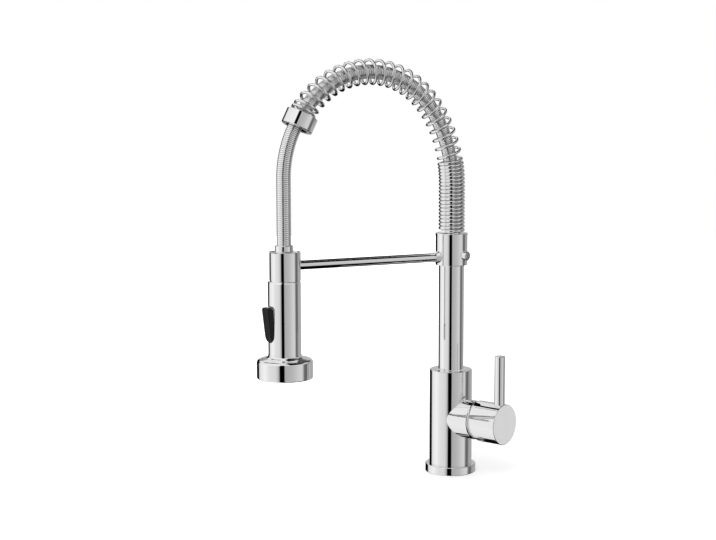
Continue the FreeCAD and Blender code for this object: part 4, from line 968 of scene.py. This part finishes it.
# Studio panels at eye level: degrees to the right of the camera's side, and grey
AROUND = (
    (-180, 0.74), (-168, 0.7), (-163, 0.03), (-127, 0.03), (-122, 0.84), (-108, 0.93), (-84, 0.98),
    (-60, 0.9), (-30, 0.86), (-18, 0.68), (-14, 0.02), (3, 0.02), (7, 0.68), (40, 0.74), (66, 0.83),
    (80, 0.84), (92, 0.42), (106, 0.4), (116, 0.62), (150, 0.68), (172, 0.74), (180, 0.74),
)
# The same for the floor, for what is above eye level and for the ceiling
BELOW = (
    (-180, 0.06), (-136, 0.06), (-126, 0.9), (-60, 0.96), (-24, 0.9), (-19, 0.04), (8, 0.04), (14, 0.7),
    (34, 0.5), (58, 0.05), (180, 0.06),
)
ABOVE = (
    (-180, 0.35), (-177, 0.9), (-18, 0.97), (-14, 0.04), (3, 0.04), (7, 0.8), (110, 0.85), (140, 0.4),
    (155, 0.25), (180, 0.35),
)
CEILING = (
    (-180, 0.06), (-177, 0.9), (-154, 0.9), (-151, 0.03), (-125, 0.03), (-121, 0.93), (-20, 0.95),
    (26, 0.9), (34, 0.03), (180, 0.06),
)
# Heights between which one goes over into the next, as the upward part of a direction of length 1
FLOOR_EDGE = (-0.52, -0.4)
SKY_EDGE = (0.3, 0.42)
CEILING_EDGE = (0.6, 0.68)
SKY_FOR_DIFFUSE = 0.75
CAMERA_SIDE = math.radians(240.3)
DISPLAY_POWER = 2.2


def shades(tree, around, stops):
    """A ramp of greys, as they look on a screen, over the directions round the tap."""
    item = tree.nodes.new("ShaderNodeValToRGB")
    elements = item.color_ramp.elements
    while len(elements) < len(stops):
        elements.new(0.5)
    for element, (degrees, grey) in zip(elements, stops):
        level = grey ** DISPLAY_POWER
        element.position = (degrees + 180) / 360
        element.color = (level, level, level, 1)
    tree.links.new(around, item.inputs["Fac"])
    return item.outputs["Color"]


def over(tree, rise, limits, low, high):
    """One shade below an edge and another above it."""
    return mixed(tree, "FLOAT", ranged(tree, rise, limits, (0, 1)), low, high)


def make_world():
    """White for the camera, an even light for matt surfaces, and the panels in reflections."""
    world = bpy.data.worlds.new("studio")
    bpy.context.scene.world = world
    world.use_nodes = True
    tree = world.node_tree
    back = tree.nodes["Background"]
    place = tree.nodes.new("ShaderNodeTexCoord")
    turn = tree.nodes.new("ShaderNodeVectorRotate")
    turn.rotation_type = "Z_AXIS"
    turn.inputs["Angle"].default_value = -CAMERA_SIDE
    tree.links.new(place.outputs["Generated"], turn.inputs["Vector"])
    parts = tree.nodes.new("ShaderNodeSeparateXYZ")
    tree.links.new(turn.outputs["Vector"], parts.inputs["Vector"])
    angle = arithmetic(tree, "ARCTAN2", parts.outputs["Y"], parts.outputs["X"])
    around = arithmetic(tree, "ADD", arithmetic(tree, "DIVIDE", angle, math.tau), 0.5)
    rise = parts.outputs["Z"]
    seen = over(tree, rise, FLOOR_EDGE, shades(tree, around, BELOW), shades(tree, around, AROUND))
    seen = over(tree, rise, SKY_EDGE, seen, shades(tree, around, ABOVE))
    seen = over(tree, rise, CEILING_EDGE, seen, shades(tree, around, CEILING))
    rays = tree.nodes.new("ShaderNodeLightPath")
    diffuse = arithmetic(tree, "MULTIPLY", rays.outputs["Is Diffuse Ray"], SKY_FOR_DIFFUSE)
    clear = arithmetic(tree, "MAXIMUM", rays.outputs["Is Camera Ray"], diffuse)
    glossy = arithmetic(tree, "MAXIMUM", rays.outputs["Is Glossy Ray"], rays.outputs["Is Transmission Ray"])
    mirrored = arithmetic(tree, "MULTIPLY", glossy, seen)
    level = arithmetic(tree, "MAXIMUM", clear, mirrored)
    back.inputs["Color"].default_value = (1, 1, 1, 1)
    tree.links.new(level, back.inputs["Strength"])


# Lamps: places and sizes in metres, power in watts
LIGHT_TARGET = Vector((-0.08, 0, 0.2))
LIGHT_SIZE = 1.2
KEY_PLACE = Vector((-1.2, -1.4, 1.8))
KEY_POWER = 14
FILL_PLACE = Vector((1.4, -0.8, 1.2))
FILL_POWER = 6


def make_light(name, place, power):
    data = bpy.data.lights.new(name, "AREA")
    data.energy = power
    data.size = LIGHT_SIZE
    item = linked(name, data)
    item.location = place
    item.rotation_euler = (LIGHT_TARGET - place).to_track_quat("-Z", "Y").to_euler()
    item.visible_glossy = False


# Making
make_camera()
route = route_curve()
line = Line([vert.co.copy() for vert in baked(route).vertices])
make_hose(route, line)
bpy.data.objects.remove(route)
make_spring(line)
make_seat()
make_cup()
make_base_ring()
make_mixer_body()
make_dome()
make_cap()
make_lever()
make_riser()
make_collar()
make_screw()
make_arm()
make_clip()
make_ferrule()
make_barrel()
make_bell()
make_trigger()
finish_solids()
make_floor()
make_world()
make_light("key", KEY_PLACE, KEY_POWER)
make_light("fill", FILL_PLACE, FILL_POWER)
bpy.context.scene.view_settings.view_transform = "Standard"
